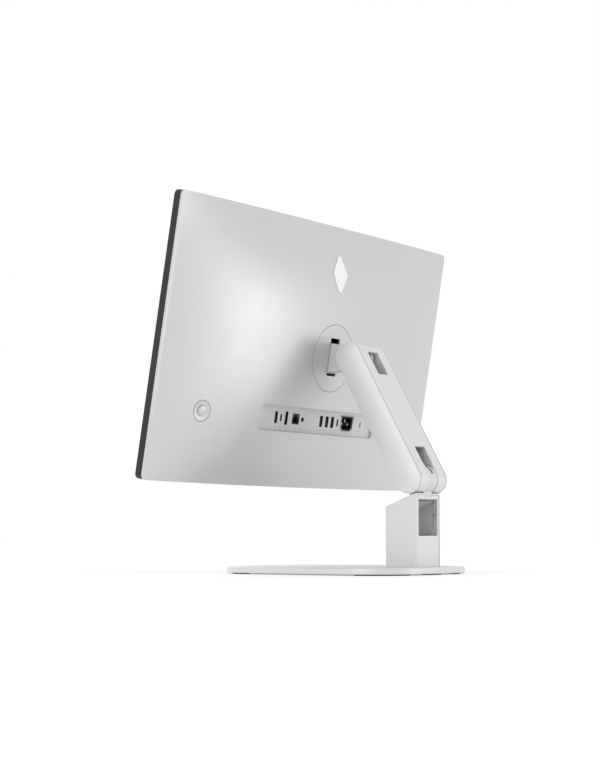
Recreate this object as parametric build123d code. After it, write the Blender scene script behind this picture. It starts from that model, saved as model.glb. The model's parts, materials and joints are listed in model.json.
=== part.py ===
from build123d import *
from math import cos, radians, sin, tan
import os

# All-in-one computer: a domed 27 inch screen unit on a levelled lifting arm, a pillar and a base plate.
#
# Frame: +Z up, +Y towards the back of the computer, +X to its left seen from the back.
# The origin is on the desk under the middle of the base plate. All sizes are millimetres.
# Screen parts are made upright in their own frame (x across, y depth behind the glass, z up),
# with the middle of the glass front at the origin, and are then tilted and raised into place.
# Arm parts are made with the lower pivot at the origin and the arm pointing up +Z.

# ---------------------------------------------------------------- screen
SCREEN_W = 612.0
SCREEN_H = 355.4
SCREEN_CORNER_R = 7.0
SCREEN_TILT = 9.94
FRAME_DEPTH = 10.0
FRAME_RIM = 1.6
GLASS_T = 1.8
LCD_SIDE = 6.5
LCD_END = 7.7
LCD_T = 7.5
SEAM = 0.2
FIT = 0.3

# ---------------------------------------------------------------- domed back cover
COVER_WALL = 2.0
COVER_EDGE = 3.2
DOME_RISE = 39.0
DOME_POWER_X = 2.4
DOME_POWER_Z = 2.9
DOME_DROP_TOP = 0.718
DOME_DROP_BOTTOM = 0.59
DOME_MARGIN = 9.0
DOME_STEPS_X = 26
DOME_STEPS_Z = 18
DOME_BLOCK = 90.0
DISC_R = 45.0
DISC_Z = 1.0
DISC_WALL = 2.5
DISC_SEAM = 0.6
DISC_POST_X = 34.0
DISC_POST_Z = 20.0
DISC_POST_R = 3.0
NOTCH_GAP = 0.6
NOTCH_BELOW = 1.7
NOTCH_ABOVE = 6.7
VENT_COUNT = 27
VENT_PITCH = 12.0
VENT_W = 7.0
VENT_T = 2.2
VENT_DEPTH = 14.6

# ---------------------------------------------------------------- connector bay
BAY_W = 262.0
BAY_TOP_DROP = 70.0
BAY_H = 33.8
BAY_R = 5.0
BAY_LIP = 2.818
BAY_PLATE_T = 2.0
PORT_RISE = 0.7
PORT_SET_BACK = 0.3
PORT_WALL = 0.5
PORT_HOLE_R = 0.5
HDMI_X = 92.0
HDMI_W = 5.6
HDMI_H = 15.0
DP_X = 69.4
DP_W = 6.0
DP_H = 17.2
USB_C_X = (81.2, -48.3)
USB_C_W = 3.3
USB_C_H = 9.0
USB_A_X = (-9.8, -23.2, -36.0)
USB_A_W = 6.6
USB_A_H = 14.4
LAN_X = 48.5
LAN_W = 15.6
LAN_H = 13.6
LAN_WALL = 1.0
LAN_STEPS = ((5.9, 7.2), (3.2, 9.0), (2.0, 10.6))
JACK_X = 33.3
JACK_R = 3.0
JACK_BORE_R = 1.8
INLET_X = -70.8
INLET_W = 27.0
INLET_H = 19.6
INLET_WALL = 1.5
INLET_CHAMFER = 4.5
BLADE_W = 2.0
BLADE_H = 4.0
BLADE_SPREAD = 7.0
BLADE_RISE = 3.5
LOCK_X = -104.0
LOCK_W = 3.0
LOCK_H = 7.0
LOCK_DEPTH = 5.0

# ---------------------------------------------------------------- inside the screen
CHASSIS_T = 1.2
CHASSIS_INSET = 5.0
BOARD_W = 256.0
BOARD_BELOW_BAY = 21.2
BOARD_ABOVE_BAY = 37.0
BOARD_BOLT_INSET = 6.0
PORT_LENGTH = 12.3
BOARD_T = 1.6
STANDOFF_R = 3.0
BOARD_HOLE_R = 1.4
CPU_X = 60.0
CPU_DROP = 23.0
CPU_W = 34.0
CPU_T = 4.0
COLD_PLATE_T = 6.0
PIPE_R = 2.5
PIPE_BEND_R = 12.0
MEMORY_W = 69.6
MEMORY_H = 30.0
MEMORY_T = 3.8
SSD_W = 80.0
SSD_H = 22.0
SSD_T = 3.5
FAN_X = 92.0
FAN_RISE = 0.17445
FAN_R = 38.0
FAN_T = 14.0
FAN_WALL = 1.2
FAN_INLET_R = 20.0
FAN_SHAFT_R = 2.0
FAN_SHAFT_GAP = 4.0
ROTOR_R = 33.0
HUB_R = 12.0
BLADE_COUNT = 23
SINK_W = 64.0
SINK_H = 16.0
FIN_COUNT = 17
FIN_T = 0.8
FIN_MARGIN = 0.3
SUPPLY_W = 80.0
SUPPLY_H = 140.0
SUPPLY_GAP = 12.0
SUPPLY_Z = -40.0
SUPPLY_CLEARANCE = 2.201
SPEAKER_W = 80.0
SPEAKER_H = 22.0
SPEAKER_T = 9.5
SPEAKER_GAP = 4.0
SPEAKER_FROM_EDGE = 12.7
CAMERA_W = 60.0
CAMERA_H = 5.2
CAMERA_T = 4.2

# ---------------------------------------------------------------- power button and badge
BUTTON_FROM_SIDE = 73.0
BUTTON_FROM_EDGE = 91.2
BEZEL_R = 13.3
BEZEL_DEPTH = 10.6
BEZEL_FACE_T = 5.0
BEZEL_SINK = 0.15
DISH_DEPTH = 1.1
BUTTON_R = 6.25
BUTTON_STEM = 8.2
BUTTON_CROWN = 0.7
BUTTON_SEAM = 0.3
BUTTON_FLANGE = 2.0
BUTTON_FLANGE_T = 1.0
SWITCH_T = 1.4
BADGE_Z = 114.0
BADGE_W = 34.0
BADGE_H = 58.0
BADGE_R = 5.0
BADGE_T = 0.8

# ---------------------------------------------------------------- tilt hinge
TILT_DEPTH = 42.0
TILT_PIN_R = 4.0
BRACKET_W = 100.0
BRACKET_H = 88.0
BRACKET_T = 2.5
CHEEK_T = 4.0
CHEEK_BASE = 36.0
CHEEK_STEP = 0.8
CHEEK_R = 7.0
BRACKET_BOLT_X = 40.0
BRACKET_BOLT_Z = 36.0
BRACKET_BOLT_R = 2.0
BRACKET_HEAD_R = 3.6

# ---------------------------------------------------------------- arm and its two pivots
PIVOT_SETBACK = 9.8
PIVOT_RISE = 17.6
HEAD_REACH = 55.624
HEAD_RISE = 2.576
ARM_LENGTH = 187.25
ARM_RISE = 60.5
ARM_R = 18.5
ARM_HALF_W = 35.4
COVER_T = 4.8
BAND_WALL = 2.6
RIB_GAP = 2.5
RIB_T = 2.6
SLOT_GAP = 0.5
POCKET_GAP = 2.1
LOWER_POCKET = (13.0, 39.0)
UPPER_POCKET = (38.0, 3.0)
FRONT_SLOT_LOW = 18.0
FRONT_SLOT_HIGH = 30.0
BRIDGE_START = 46.0
COVER_RIM = 2.2
COVER_ROUND = 0.9
COVER_SKIN = 1.6
SEAM_CHAMFER = 0.35
KNUCKLE_HALF_W = 9.7
KNUCKLE_INSET = 0.3
ELBOW_INSET = 5.5
PIN_R = 4.0
PIN_PLAY = 0.05
WASHER_RIM = 5.0
WASHER_PLAY = 0.1
NUT_RIM = 2.5
NUT_T = 2.0
TONGUE_R = 21.0

# ---------------------------------------------------------------- levelling link and lift springs
LINK_OFFSET = 9.0
LINK_ANGLE = 140.5
LINK_EYE_R = 3.8
LINK_HALF_T = 3.0
LINK_BAR_H = 5.0
LINK_PIN_R = 1.8
LINK_PIN_PLAY = 0.3
FORK_HALF_W = 3.5
FORK_REACH = 4.8
CAM_R = 9.0
CAM_GAP = 2.7
CAM_T = 9.0
SPRING_R = 7.0
SPRING_WIRE = 1.8
SPRING_TOP_GAP = 43.25
FOLLOWER_GAP = 0.6
FOLLOWER_T = 18.4
FOLLOWER_HALF_W = 6.0
SPRING_ROD_R = 4.0
BULKHEAD_T = 5.0

# ---------------------------------------------------------------- pillar and base
BASE_W = 230.0
BASE_D = 288.0
BASE_R = 70.0
BASE_T = 8.2
BASE_ROUND = 2.2
FOOT_T = 1.5
FOOT_W = 9.0
FOOT_INSET = 7.0
FOOT_ARC = 34.0
PILLAR_HALF_W = 29.1
PILLAR_SETBACK = 16.0
PILLAR_D = 47.0
PILLAR_FRONT_H = 86.1
PILLAR_KINK_SETBACK = 12.7
PILLAR_KINK_H = 99.7
PILLAR_BACK_H = 103.6
PILLAR_WALL = 2.2
PILLAR_FRONT_ROUND = 2.5
PILLAR_REAR_ROUND = 0.8
REAR_COVER_T = 2.5
WINDOW_LOW = 49.4
WINDOW_HIGH = 96.5
WINDOW_SLOPE = 24.0
DUCT_WALL = 1.4
CORE_T = 2.0
CORE_FLANGE_T = 4.0
NECK_D = 21.6
NECK_INSET = 0.4
BASE_BOLT_X = 17.0
BASE_BOLT_Y = 13.0
BASE_BOLT_R = 2.5
BASE_HEAD_R = 4.4
BASE_HEAD_T = 2.6

# ---------------------------------------------------------------- derived sizes
PLATE_TOP = FOOT_T + BASE_T
COVER_START = FRAME_DEPTH + COVER_EDGE
LCD_W = SCREEN_W - 2 * LCD_SIDE
LCD_H = SCREEN_H - 2 * LCD_END
RIB_X = KNUCKLE_HALF_W + RIB_GAP
SLOT_W = 2 * (KNUCKLE_HALF_W + SLOT_GAP)
NOTCH_W = 2 * (KNUCKLE_HALF_W + NOTCH_GAP)
NOTCH_LOW = -(TONGUE_R + NOTCH_BELOW)
NOTCH_HIGH = TONGUE_R + NOTCH_ABOVE
POCKET_W = 2 * (KNUCKLE_HALF_W + POCKET_GAP)
BAND_HALF_W = ARM_HALF_W - COVER_T
KNUCKLE_R = ARM_R - KNUCKLE_INSET
ELBOW_R = ARM_R - ELBOW_INSET
WASHER_R = PIN_R + WASHER_RIM
NUT_R = PIN_R + NUT_RIM
CAM_X = RIB_X + RIB_T + CAM_GAP
SPRING_LOW = CAM_R + FOLLOWER_GAP + FOLLOWER_T
SPRING_HIGH = ARM_LENGTH - SPRING_TOP_GAP
WINDOW_HALF_W = PILLAR_HALF_W - PILLAR_WALL - 2 * SEAM - CORE_T - DUCT_WALL


def dome_depth(x, z):
    """Depth of the cover's outer face behind the glass front."""
    across = 1 - abs(2 * x / SCREEN_W) ** DOME_POWER_X
    drop = DOME_DROP_TOP if z > 0 else DOME_DROP_BOTTOM
    upward = 1 - drop * abs(2 * z / SCREEN_H) ** DOME_POWER_Z
    return COVER_START + DOME_RISE * across * upward


# ---------------------------------------------------------------- derived places
BAY_HIGH = DISC_Z - BAY_TOP_DROP
BAY_LOW = BAY_HIGH - BAY_H
BAY_DEPTH = dome_depth(BAY_W / 2, BAY_LOW) - BAY_LIP
PORT_Z = (BAY_LOW + BAY_HIGH) / 2 + PORT_RISE
PORT_BACK = BAY_DEPTH - PORT_SET_BACK
BOARD_LOW = BAY_LOW - BOARD_BELOW_BAY
BOARD_HIGH = BAY_HIGH + BOARD_ABOVE_BAY
BOARD_BACK = PORT_BACK - PORT_LENGTH
BOARD_DEPTH = BOARD_BACK - BOARD_T
CPU_Z = BOARD_HIGH - CPU_DROP
FAN_Z = FAN_RISE * SCREEN_H
BUTTON_X = SCREEN_W / 2 - BUTTON_FROM_SIDE
BUTTON_Z = -SCREEN_H / 2 + BUTTON_FROM_EDGE
SUPPLY_X = -(BOARD_W + SUPPLY_W) / 2 - SUPPLY_GAP
SPEAKER_X = (BOARD_W + SPEAKER_W) / 2 + SPEAKER_GAP
SPEAKER_Z = -(SCREEN_H - SPEAKER_H) / 2 + SPEAKER_FROM_EDGE
PILLAR_BACK = BASE_D / 2 - PILLAR_SETBACK
PILLAR_FRONT = PILLAR_BACK - PILLAR_D
PILLAR_KINK_Y = PILLAR_BACK - PILLAR_KINK_SETBACK
NECK_BACK = PILLAR_BACK - NECK_INSET
NECK_FRONT = NECK_BACK - NECK_D
PIVOT_Y = PILLAR_BACK - PIVOT_SETBACK
PIVOT_Z = PILLAR_BACK_H + PIVOT_RISE
LCD_BACK = SEAM + GLASS_T + SEAM + LCD_T
CHASSIS_BACK = FRAME_DEPTH + CHASSIS_T
BRACKET_BACK = CHASSIS_BACK + BRACKET_T
CPU_BACK = BOARD_BACK + CPU_T
PIPE_DEPTH = CPU_BACK + COLD_PLATE_T / 2
CHEEK_X = RIB_X + CHEEK_STEP
ELBOW_Y = PIVOT_Y - ARM_LENGTH * cos(radians(ARM_RISE))
ELBOW_Z = PIVOT_Z + ARM_LENGTH * sin(radians(ARM_RISE))
TILT_Y = ELBOW_Y - HEAD_REACH
TILT_Z = ELBOW_Z + HEAD_RISE
SCREEN_Y = TILT_Y - TILT_DEPTH * cos(radians(SCREEN_TILT))
SCREEN_Z = TILT_Z + TILT_DEPTH * sin(radians(SCREEN_TILT))
LINK_Y = -LINK_OFFSET * cos(radians(LINK_ANGLE))
LINK_Z = LINK_OFFSET * sin(radians(LINK_ANGLE))
PILLAR_MID_Y = (PILLAR_FRONT + PILLAR_BACK - REAR_COVER_T) / 2

PLACE_SCREEN = Pos(0, SCREEN_Y, SCREEN_Z) * Rot(-SCREEN_TILT, 0, 0)
PLACE_ARM = Pos(0, PIVOT_Y, PIVOT_Z) * Rot(90 - ARM_RISE, 0, 0)
PLACE_PIVOT = Pos(0, PIVOT_Y, PIVOT_Z)
PLACE_ELBOW = Pos(0, ELBOW_Y, ELBOW_Z)


# ---------------------------------------------------------------- small helpers
def block(x0, x1, y0, y1, z0, z1):
    """Box between two corners."""
    return Pos((x0 + x1) / 2, (y0 + y1) / 2, (z0 + z1) / 2) * Box(x1 - x0, y1 - y0, z1 - z0)


def rod_x(radius, x0, x1, y=0.0, z=0.0):
    """Round bar along X."""
    return Pos((x0 + x1) / 2, y, z) * Rot(0, 90, 0) * Cylinder(radius, x1 - x0)


def rod_y(radius, y0, y1, x=0.0, z=0.0):
    """Round bar along Y."""
    return Pos(x, (y0 + y1) / 2, z) * Rot(90, 0, 0) * Cylinder(radius, y1 - y0)


def rod_z(radius, z0, z1, x=0.0, y=0.0):
    """Round bar along Z."""
    return Pos(x, y, (z0 + z1) / 2) * Cylinder(radius, z1 - z0)


def side_prism(outline, x0, x1):
    """Prism of an outline drawn in y and z, from x0 to x1."""
    return extrude(Plane.YZ.offset(x0) * outline, amount=x1 - x0)


def back_prism(outline, y0, y1):
    """Prism of an outline drawn in x and z, from depth y0 to y1."""
    return extrude(Plane.XZ.offset(-y0) * outline, amount=y0 - y1)


def both_sides(part):
    """A part and its mirror image across the middle plane."""
    return part + mirror(part, Plane.YZ)


def screen_outline(inset):
    """Rounded outline of the screen, made smaller all round by an inset."""
    corner = max(SCREEN_CORNER_R - inset, 1.5)
    return RectangleRounded(SCREEN_W - 2 * inset, SCREEN_H - 2 * inset, corner)


def under_dome(shift):
    """Solid that fills the space in front of the dome, with the dome moved back by a shift."""
    half_x = SCREEN_W / 2 + DOME_MARGIN
    half_z = SCREEN_H / 2 + DOME_MARGIN
    grid = []
    for i in range(DOME_STEPS_X + 1):
        x = half_x * (2 * i / DOME_STEPS_X - 1)
        row = []
        for j in range(DOME_STEPS_Z + 1):
            z = half_z * (2 * j / DOME_STEPS_Z - 1)
            row.append(Vector(x, dome_depth(x, z) + shift, z))
        grid.append(row)
    surface = Face.make_surface_from_array_of_points(grid, tol=0.01, min_deg=3, max_deg=5)
    return extrude(surface, amount=DOME_BLOCK, dir=(0, -1, 0))


def dome_plane(x, z):
    """Plane that touches the dome, with its normal pointing out of the cover."""
    step = 0.5
    slope_x = (dome_depth(x + step, z) - dome_depth(x - step, z)) / (2 * step)
    slope_z = (dome_depth(x, z + step) - dome_depth(x, z - step)) / (2 * step)
    return Plane(
        origin=(x, dome_depth(x, z), z), x_dir=(1, slope_x, 0), z_dir=(-slope_x, 1, -slope_z)
    )


# ---------------------------------------------------------------- screen shells
def front_frame():
    """Dark edge frame that carries the glass and the display module."""
    ring = back_prism(screen_outline(0), 0, FRAME_DEPTH)
    ring -= back_prism(screen_outline(FRAME_RIM), 0, SEAM + GLASS_T)
    ring -= back_prism(Rectangle(LCD_W + 2 * FIT, LCD_H + 2 * FIT), 0, FRAME_DEPTH)
    camera_low = LCD_H / 2
    pocket_depth = SEAM + GLASS_T + SEAM + CAMERA_T + FIT
    half = CAMERA_W / 2 + FIT
    ring -= block(-half, half, 0, pocket_depth, camera_low, camera_low + CAMERA_H + 3 * FIT)
    return ring


def front_glass():
    """Cover glass, flush with the frame's rim."""
    return back_prism(screen_outline(FRAME_RIM + SEAM), SEAM, SEAM + GLASS_T)


def lcd_module():
    """Display module behind the glass."""
    return back_prism(Rectangle(LCD_W, LCD_H), LCD_BACK - LCD_T, LCD_BACK)


def webcam_module():
    """Camera strip above the display, with a round lens barrel towards the glass."""
    low = LCD_H / 2 + 1.5 * FIT
    start = SEAM + GLASS_T + SEAM
    strip = block(-CAMERA_W / 2, CAMERA_W / 2, start + 1, start + CAMERA_T, low, low + CAMERA_H)
    return strip + rod_y(CAMERA_H / 2 - 0.4, start, start + 1, 0, low + CAMERA_H / 2)


def vent_cutters(z0, z1):
    """Row of slots through the flat top or bottom wall of the cover."""
    first = -VENT_PITCH * (VENT_COUNT - 1) / 2
    slots = Part()
    for i in range(VENT_COUNT):
        x = first + i * VENT_PITCH
        slots += block(x - VENT_W / 2, x + VENT_W / 2, VENT_DEPTH, VENT_DEPTH + VENT_T, z0, z1)
    return slots


def bay_outline(grow):
    """Outline of the connector bay, grown all round."""
    middle = (BAY_LOW + BAY_HIGH) / 2
    height = BAY_HIGH - BAY_LOW + 2 * grow
    return Pos(0, middle) * RectangleRounded(BAY_W + 2 * grow, height, BAY_R + grow)


def back_cover(outer, inner):
    """Domed silver shell with a round opening, a connector bay, vents and a button hole."""
    shell = outer & back_prism(screen_outline(0), FRAME_DEPTH, DOME_BLOCK)
    hollow = inner & back_prism(screen_outline(COVER_WALL), 0, DOME_BLOCK)
    shell -= hollow
    shell += outer & back_prism(bay_outline(COVER_WALL), BAY_DEPTH, DOME_BLOCK)
    shell -= back_prism(bay_outline(0), BAY_DEPTH, DOME_BLOCK)
    shell -= rod_y(DISC_R + DISC_SEAM, FRAME_DEPTH, DOME_BLOCK, 0, DISC_Z)
    shell -= vent_cutters(SCREEN_H / 2 - 2 * COVER_WALL, SCREEN_H / 2 + COVER_WALL)
    shell -= vent_cutters(-SCREEN_H / 2 - COVER_WALL, -SCREEN_H / 2 + 2 * COVER_WALL)
    shell -= dome_plane(BUTTON_X, BUTTON_Z) * Cylinder(BEZEL_R + SEAM, 4 * COVER_WALL)
    return shell


def mount_cover(outer):
    """Round cover of the hinge with a notch for the head link, on four posts."""
    disc = outer & rod_y(DISC_R, FRAME_DEPTH, DOME_BLOCK, 0, DISC_Z)
    disc -= under_dome(-DISC_WALL)
    post_end = dome_depth(DISC_POST_X, DISC_POST_Z) - DISC_WALL / 2
    for x in (-DISC_POST_X, DISC_POST_X):
        for z in (-DISC_POST_Z, DISC_POST_Z):
            disc += rod_y(DISC_POST_R, BRACKET_BACK, post_end, x, z)
    disc -= block(-NOTCH_W / 2, NOTCH_W / 2, FRAME_DEPTH, DOME_BLOCK, NOTCH_LOW, NOTCH_HIGH)
    return disc


def badge():
    """Plain lozenge plate that follows the dome."""
    lozenge = Polygon((0, -BADGE_H / 2), (BADGE_W / 2, 0), (0, BADGE_H / 2), (-BADGE_W / 2, 0))
    lozenge = fillet(lozenge.vertices(), BADGE_R)
    plate = back_prism(Pos(0, BADGE_Z) * lozenge, FRAME_DEPTH, DOME_BLOCK)
    return (plate & under_dome(BADGE_T)) - under_dome(0.02)


# ---------------------------------------------------------------- power button
def button_bezel():
    """Dished cup around the power button."""
    cup = Pos(0, 0, -(BEZEL_DEPTH + BEZEL_SINK) / 2) * Cylinder(BEZEL_R, BEZEL_DEPTH - BEZEL_SINK)
    cavity = BEZEL_DEPTH - BEZEL_FACE_T
    cup -= Pos(0, 0, -BEZEL_DEPTH + cavity / 2) * Cylinder(BEZEL_R - COVER_WALL, cavity)
    dish_r = BEZEL_R - 1
    ball_r = (dish_r**2 + DISH_DEPTH**2) / (2 * DISH_DEPTH)
    cup -= Pos(0, 0, ball_r - DISH_DEPTH - BEZEL_SINK) * Sphere(ball_r)
    cup -= Cylinder(BUTTON_R + BUTTON_SEAM, 4 * BEZEL_DEPTH)
    return dome_plane(BUTTON_X, BUTTON_Z) * cup


def power_button():
    """Round push button with a slightly crowned top and a retaining flange."""
    stem = Pos(0, 0, -BUTTON_STEM / 2) * Cylinder(BUTTON_R, BUTTON_STEM)
    crown_ball = (BUTTON_R**2 + BUTTON_CROWN**2) / (2 * BUTTON_CROWN)
    crown = Pos(0, 0, BUTTON_CROWN - crown_ball) * Sphere(crown_ball)
    stem += crown & Cylinder(BUTTON_R, 2 * BUTTON_CROWN)
    flange_top = -BEZEL_FACE_T - SEAM
    stem += Pos(0, 0, flange_top - BUTTON_FLANGE_T / 2) * Cylinder(BUTTON_R + BUTTON_FLANGE, BUTTON_FLANGE_T)
    return dome_plane(BUTTON_X, BUTTON_Z) * stem


def switch_board():
    """Small round board with the tactile switch under the button."""
    board = Pos(0, 0, -BEZEL_DEPTH - BOARD_T / 2) * Cylinder(BEZEL_R, BOARD_T)
    board += Pos(0, 0, -BEZEL_DEPTH + SWITCH_T / 2) * Box(6, 6, SWITCH_T)
    return dome_plane(BUTTON_X, BUTTON_Z) * board


# ---------------------------------------------------------------- connectors
def port_shell(x, width, height, corner, wall, deep=None):
    """Hollow metal shell of a connector, standing on the mainboard with its mouth to the back."""
    floor = BOARD_BACK + (1.5 if deep is None else deep)
    shell = back_prism(
        Pos(x, PORT_Z) * RectangleRounded(width, height, corner), BOARD_BACK, PORT_BACK
    )
    inner_corner = max(corner - wall, 0.2)
    mouth = Pos(x, PORT_Z) * RectangleRounded(width - 2 * wall, height - 2 * wall, inner_corner)
    return shell - back_prism(mouth, floor, PORT_BACK + 1)


def hdmi_socket():
    return port_shell(HDMI_X, HDMI_W, HDMI_H, 1.2, PORT_WALL)


def displayport_socket():
    return port_shell(DP_X, DP_W, DP_H, 0.8, PORT_WALL)


def usb_c_sockets():
    corner = USB_C_W / 2 - 0.05
    return Part() + [port_shell(x, USB_C_W, USB_C_H, corner, PORT_WALL) for x in USB_C_X]


def usb_a_sockets():
    return Part() + [port_shell(x, USB_A_W, USB_A_H, 0.6, PORT_WALL) for x in USB_A_X]


def lan_socket():
    """Network socket: a square mouth with a stepped latch channel at its top."""
    body = back_prism(Pos(LAN_X, PORT_Z) * Rectangle(LAN_W, LAN_H), BOARD_BACK, PORT_BACK)
    floor = BOARD_BACK + 3 * LAN_WALL
    low = PORT_Z - LAN_H / 2 + LAN_WALL
    for half, height in LAN_STEPS:
        body -= block(LAN_X - half, LAN_X + half, floor, BAY_DEPTH, low, low + height)
    return body


def audio_socket():
    """Headset jack."""
    barrel = rod_y(JACK_R, BOARD_BACK, PORT_BACK, JACK_X, PORT_Z)
    return barrel - rod_y(JACK_BORE_R, BOARD_BACK + 1, BAY_DEPTH, JACK_X, PORT_Z)


def inlet_outline(inset):
    """Six-sided outline of the mains inlet with its two lower corners cut off."""
    half_w = INLET_W / 2 - inset
    half_h = INLET_H / 2 - inset
    cut = INLET_CHAMFER - inset * (2 - 2**0.5)
    corners = [
        (-half_w, half_h), (half_w, half_h), (half_w, -half_h + cut), (half_w - cut, -half_h),
        (-half_w + cut, -half_h), (-half_w, -half_h + cut),
    ]
    return Pos(INLET_X, PORT_Z) * make_face(Polyline(*corners, close=True))


def power_inlet():
    """Mains inlet housing, closed at its inner end."""
    body = back_prism(inlet_outline(0), BOARD_BACK, PORT_BACK)
    return body - back_prism(inlet_outline(INLET_WALL), BOARD_BACK + 2, BAY_DEPTH)


def inlet_blades():
    """Three contact blades of the mains inlet."""
    places = ((-BLADE_SPREAD, -1), (BLADE_SPREAD, -1), (0, BLADE_RISE))
    blades = []
    for x, z in places:
        middle = INLET_X + x
        low = PORT_Z + z - BLADE_H / 2
        blades.append(
            block(middle - BLADE_W / 2, middle + BLADE_W / 2, BOARD_BACK + 2, PORT_BACK - 3,
                  low, low + BLADE_H)
        )
    return Part() + blades


def socket_tongues():
    """Contact tongues inside the video and USB sockets."""
    tongues = [
        (HDMI_X, 1.2, HDMI_H - 4), (DP_X, 1.4, DP_H - 4),
        *[(x, 0.7, USB_C_H - 2.6) for x in USB_C_X],
        *[(x - 1.0, 1.8, USB_A_H - 3) for x in USB_A_X],
    ]
    floor = BOARD_BACK + 1.5
    return Part() + [
        block(x - w / 2, x + w / 2, floor, PORT_BACK - 1, PORT_Z - h / 2, PORT_Z + h / 2)
        for x, w, h in tongues
    ]


def lock_slot():
    """Steel box behind the security slot."""
    half_w = LOCK_W / 2 + 1.5
    half_h = LOCK_H / 2 + 1.5
    back = BAY_DEPTH - BAY_PLATE_T
    box = block(LOCK_X - half_w, LOCK_X + half_w, back - LOCK_DEPTH, back,
                PORT_Z - half_h, PORT_Z + half_h)
    return box - block(LOCK_X - LOCK_W / 2, LOCK_X + LOCK_W / 2, back - LOCK_DEPTH + 1.5, back,
                       PORT_Z - LOCK_H / 2, PORT_Z + LOCK_H / 2)


def connector_plate():
    """Floor of the connector bay with one opening for each socket."""
    plate = back_prism(bay_outline(COVER_WALL), BAY_DEPTH - BAY_PLATE_T, BAY_DEPTH)
    rectangles = [
        (HDMI_X, HDMI_W, HDMI_H), (DP_X, DP_W, DP_H), (LAN_X, LAN_W, LAN_H),
        *[(x, USB_C_W, USB_C_H) for x in USB_C_X], *[(x, USB_A_W, USB_A_H) for x in USB_A_X],
    ]
    holes = [
        Pos(x, PORT_Z) * RectangleRounded(w + 2 * FIT, h + 2 * FIT, PORT_HOLE_R) for x, w, h in rectangles
    ]
    holes.append(inlet_outline(-FIT))
    holes.append(Pos(JACK_X, PORT_Z) * Circle(JACK_R + FIT))
    holes.append(Pos(LOCK_X, PORT_Z) * RectangleRounded(LOCK_W, LOCK_H, PORT_HOLE_R))
    for hole in holes:
        plate -= back_prism(hole, BAY_DEPTH - 2 * BAY_PLATE_T, BAY_DEPTH + 1)
    return plate


# ---------------------------------------------------------------- electronics
def board_bolts():
    """Places of the mainboard's screws."""
    x = BOARD_W / 2 - BOARD_BOLT_INSET
    heights = (BOARD_LOW + BOARD_BOLT_INSET, BOARD_HIGH - BOARD_BOLT_INSET)
    return [(side * x, z) for z in heights for side in (-1, 1)]


def bracket_bolts():
    """Places of the hinge bracket's screws."""
    return [(x, z) for x in (-BRACKET_BOLT_X, BRACKET_BOLT_X) for z in (-BRACKET_BOLT_Z, BRACKET_BOLT_Z)]


def chassis_plate():
    """Sheet steel carrier behind the display, with standoffs for the mainboard."""
    sheet = back_prism(screen_outline(CHASSIS_INSET), FRAME_DEPTH, CHASSIS_BACK)
    for x, z in board_bolts():
        sheet += rod_y(STANDOFF_R, CHASSIS_BACK, BOARD_DEPTH, x, z)
        sheet -= rod_y(BOARD_HOLE_R, CHASSIS_BACK + 2, BOARD_DEPTH, x, z)
    for x, z in bracket_bolts():
        sheet -= rod_y(BRACKET_BOLT_R + 0.1, FRAME_DEPTH, CHASSIS_BACK, x, z)
    return sheet


def mainboard():
    """Mainboard behind the connector bay."""
    board = block(-BOARD_W / 2, BOARD_W / 2, BOARD_DEPTH, BOARD_BACK, BOARD_LOW, BOARD_HIGH)
    for x, z in board_bolts():
        board -= rod_y(BOARD_HOLE_R + 0.1, BOARD_DEPTH, BOARD_BACK, x, z)
    return board


def board_screws():
    """Four small screws that hold the mainboard on its standoffs."""
    screws = []
    for x, z in board_bolts():
        head = rod_y(2.6, BOARD_BACK, BOARD_BACK + 1.6, x, z)
        screws.append(head + rod_y(BOARD_HOLE_R - 0.1, BOARD_DEPTH - 6, BOARD_BACK, x, z))
    return Part() + screws


def processor():
    """Processor package on the mainboard."""
    half = CPU_W / 2
    return block(CPU_X - half, CPU_X + half, BOARD_BACK, CPU_BACK, CPU_Z - half, CPU_Z + half)


def cold_plate():
    """Copper block on the processor, with a channel for the heat pipe."""
    half = CPU_W / 2 - 2
    back = CPU_BACK + COLD_PLATE_T
    plate = block(CPU_X - half, CPU_X + half, CPU_BACK, back, CPU_Z - half, CPU_Z + half)
    return plate - rod_z(PIPE_R + 0.1, CPU_Z - half - 1, CPU_Z + half + 1, CPU_X, PIPE_DEPTH)


def sink_middle():
    """Middle of the fin stack: x and z."""
    return FAN_X, FAN_Z + FAN_R + FIT + 4 + SINK_H / 2


def heat_pipe():
    """Bent heat pipe from the cold plate to the fin stack."""
    x1, z1 = sink_middle()
    start = CPU_Z - CPU_W / 2 + 3
    x2 = x1 + SINK_W / 2 - 2
    bend = Vector(CPU_X + PIPE_BEND_R, PIPE_DEPTH, z1 - PIPE_BEND_R)
    pipe = rod_z(PIPE_R, start, z1 - PIPE_BEND_R, CPU_X, PIPE_DEPTH)
    pipe += rod_x(PIPE_R, CPU_X + PIPE_BEND_R, x2, PIPE_DEPTH, z1)
    elbow = Rot(90, 0, 0) * Torus(PIPE_BEND_R, PIPE_R)
    corner = block(-2 * PIPE_BEND_R, 0, -2 * PIPE_R, 2 * PIPE_R, 0, 2 * PIPE_BEND_R)
    return pipe + Pos(bend) * (elbow & corner)


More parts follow.
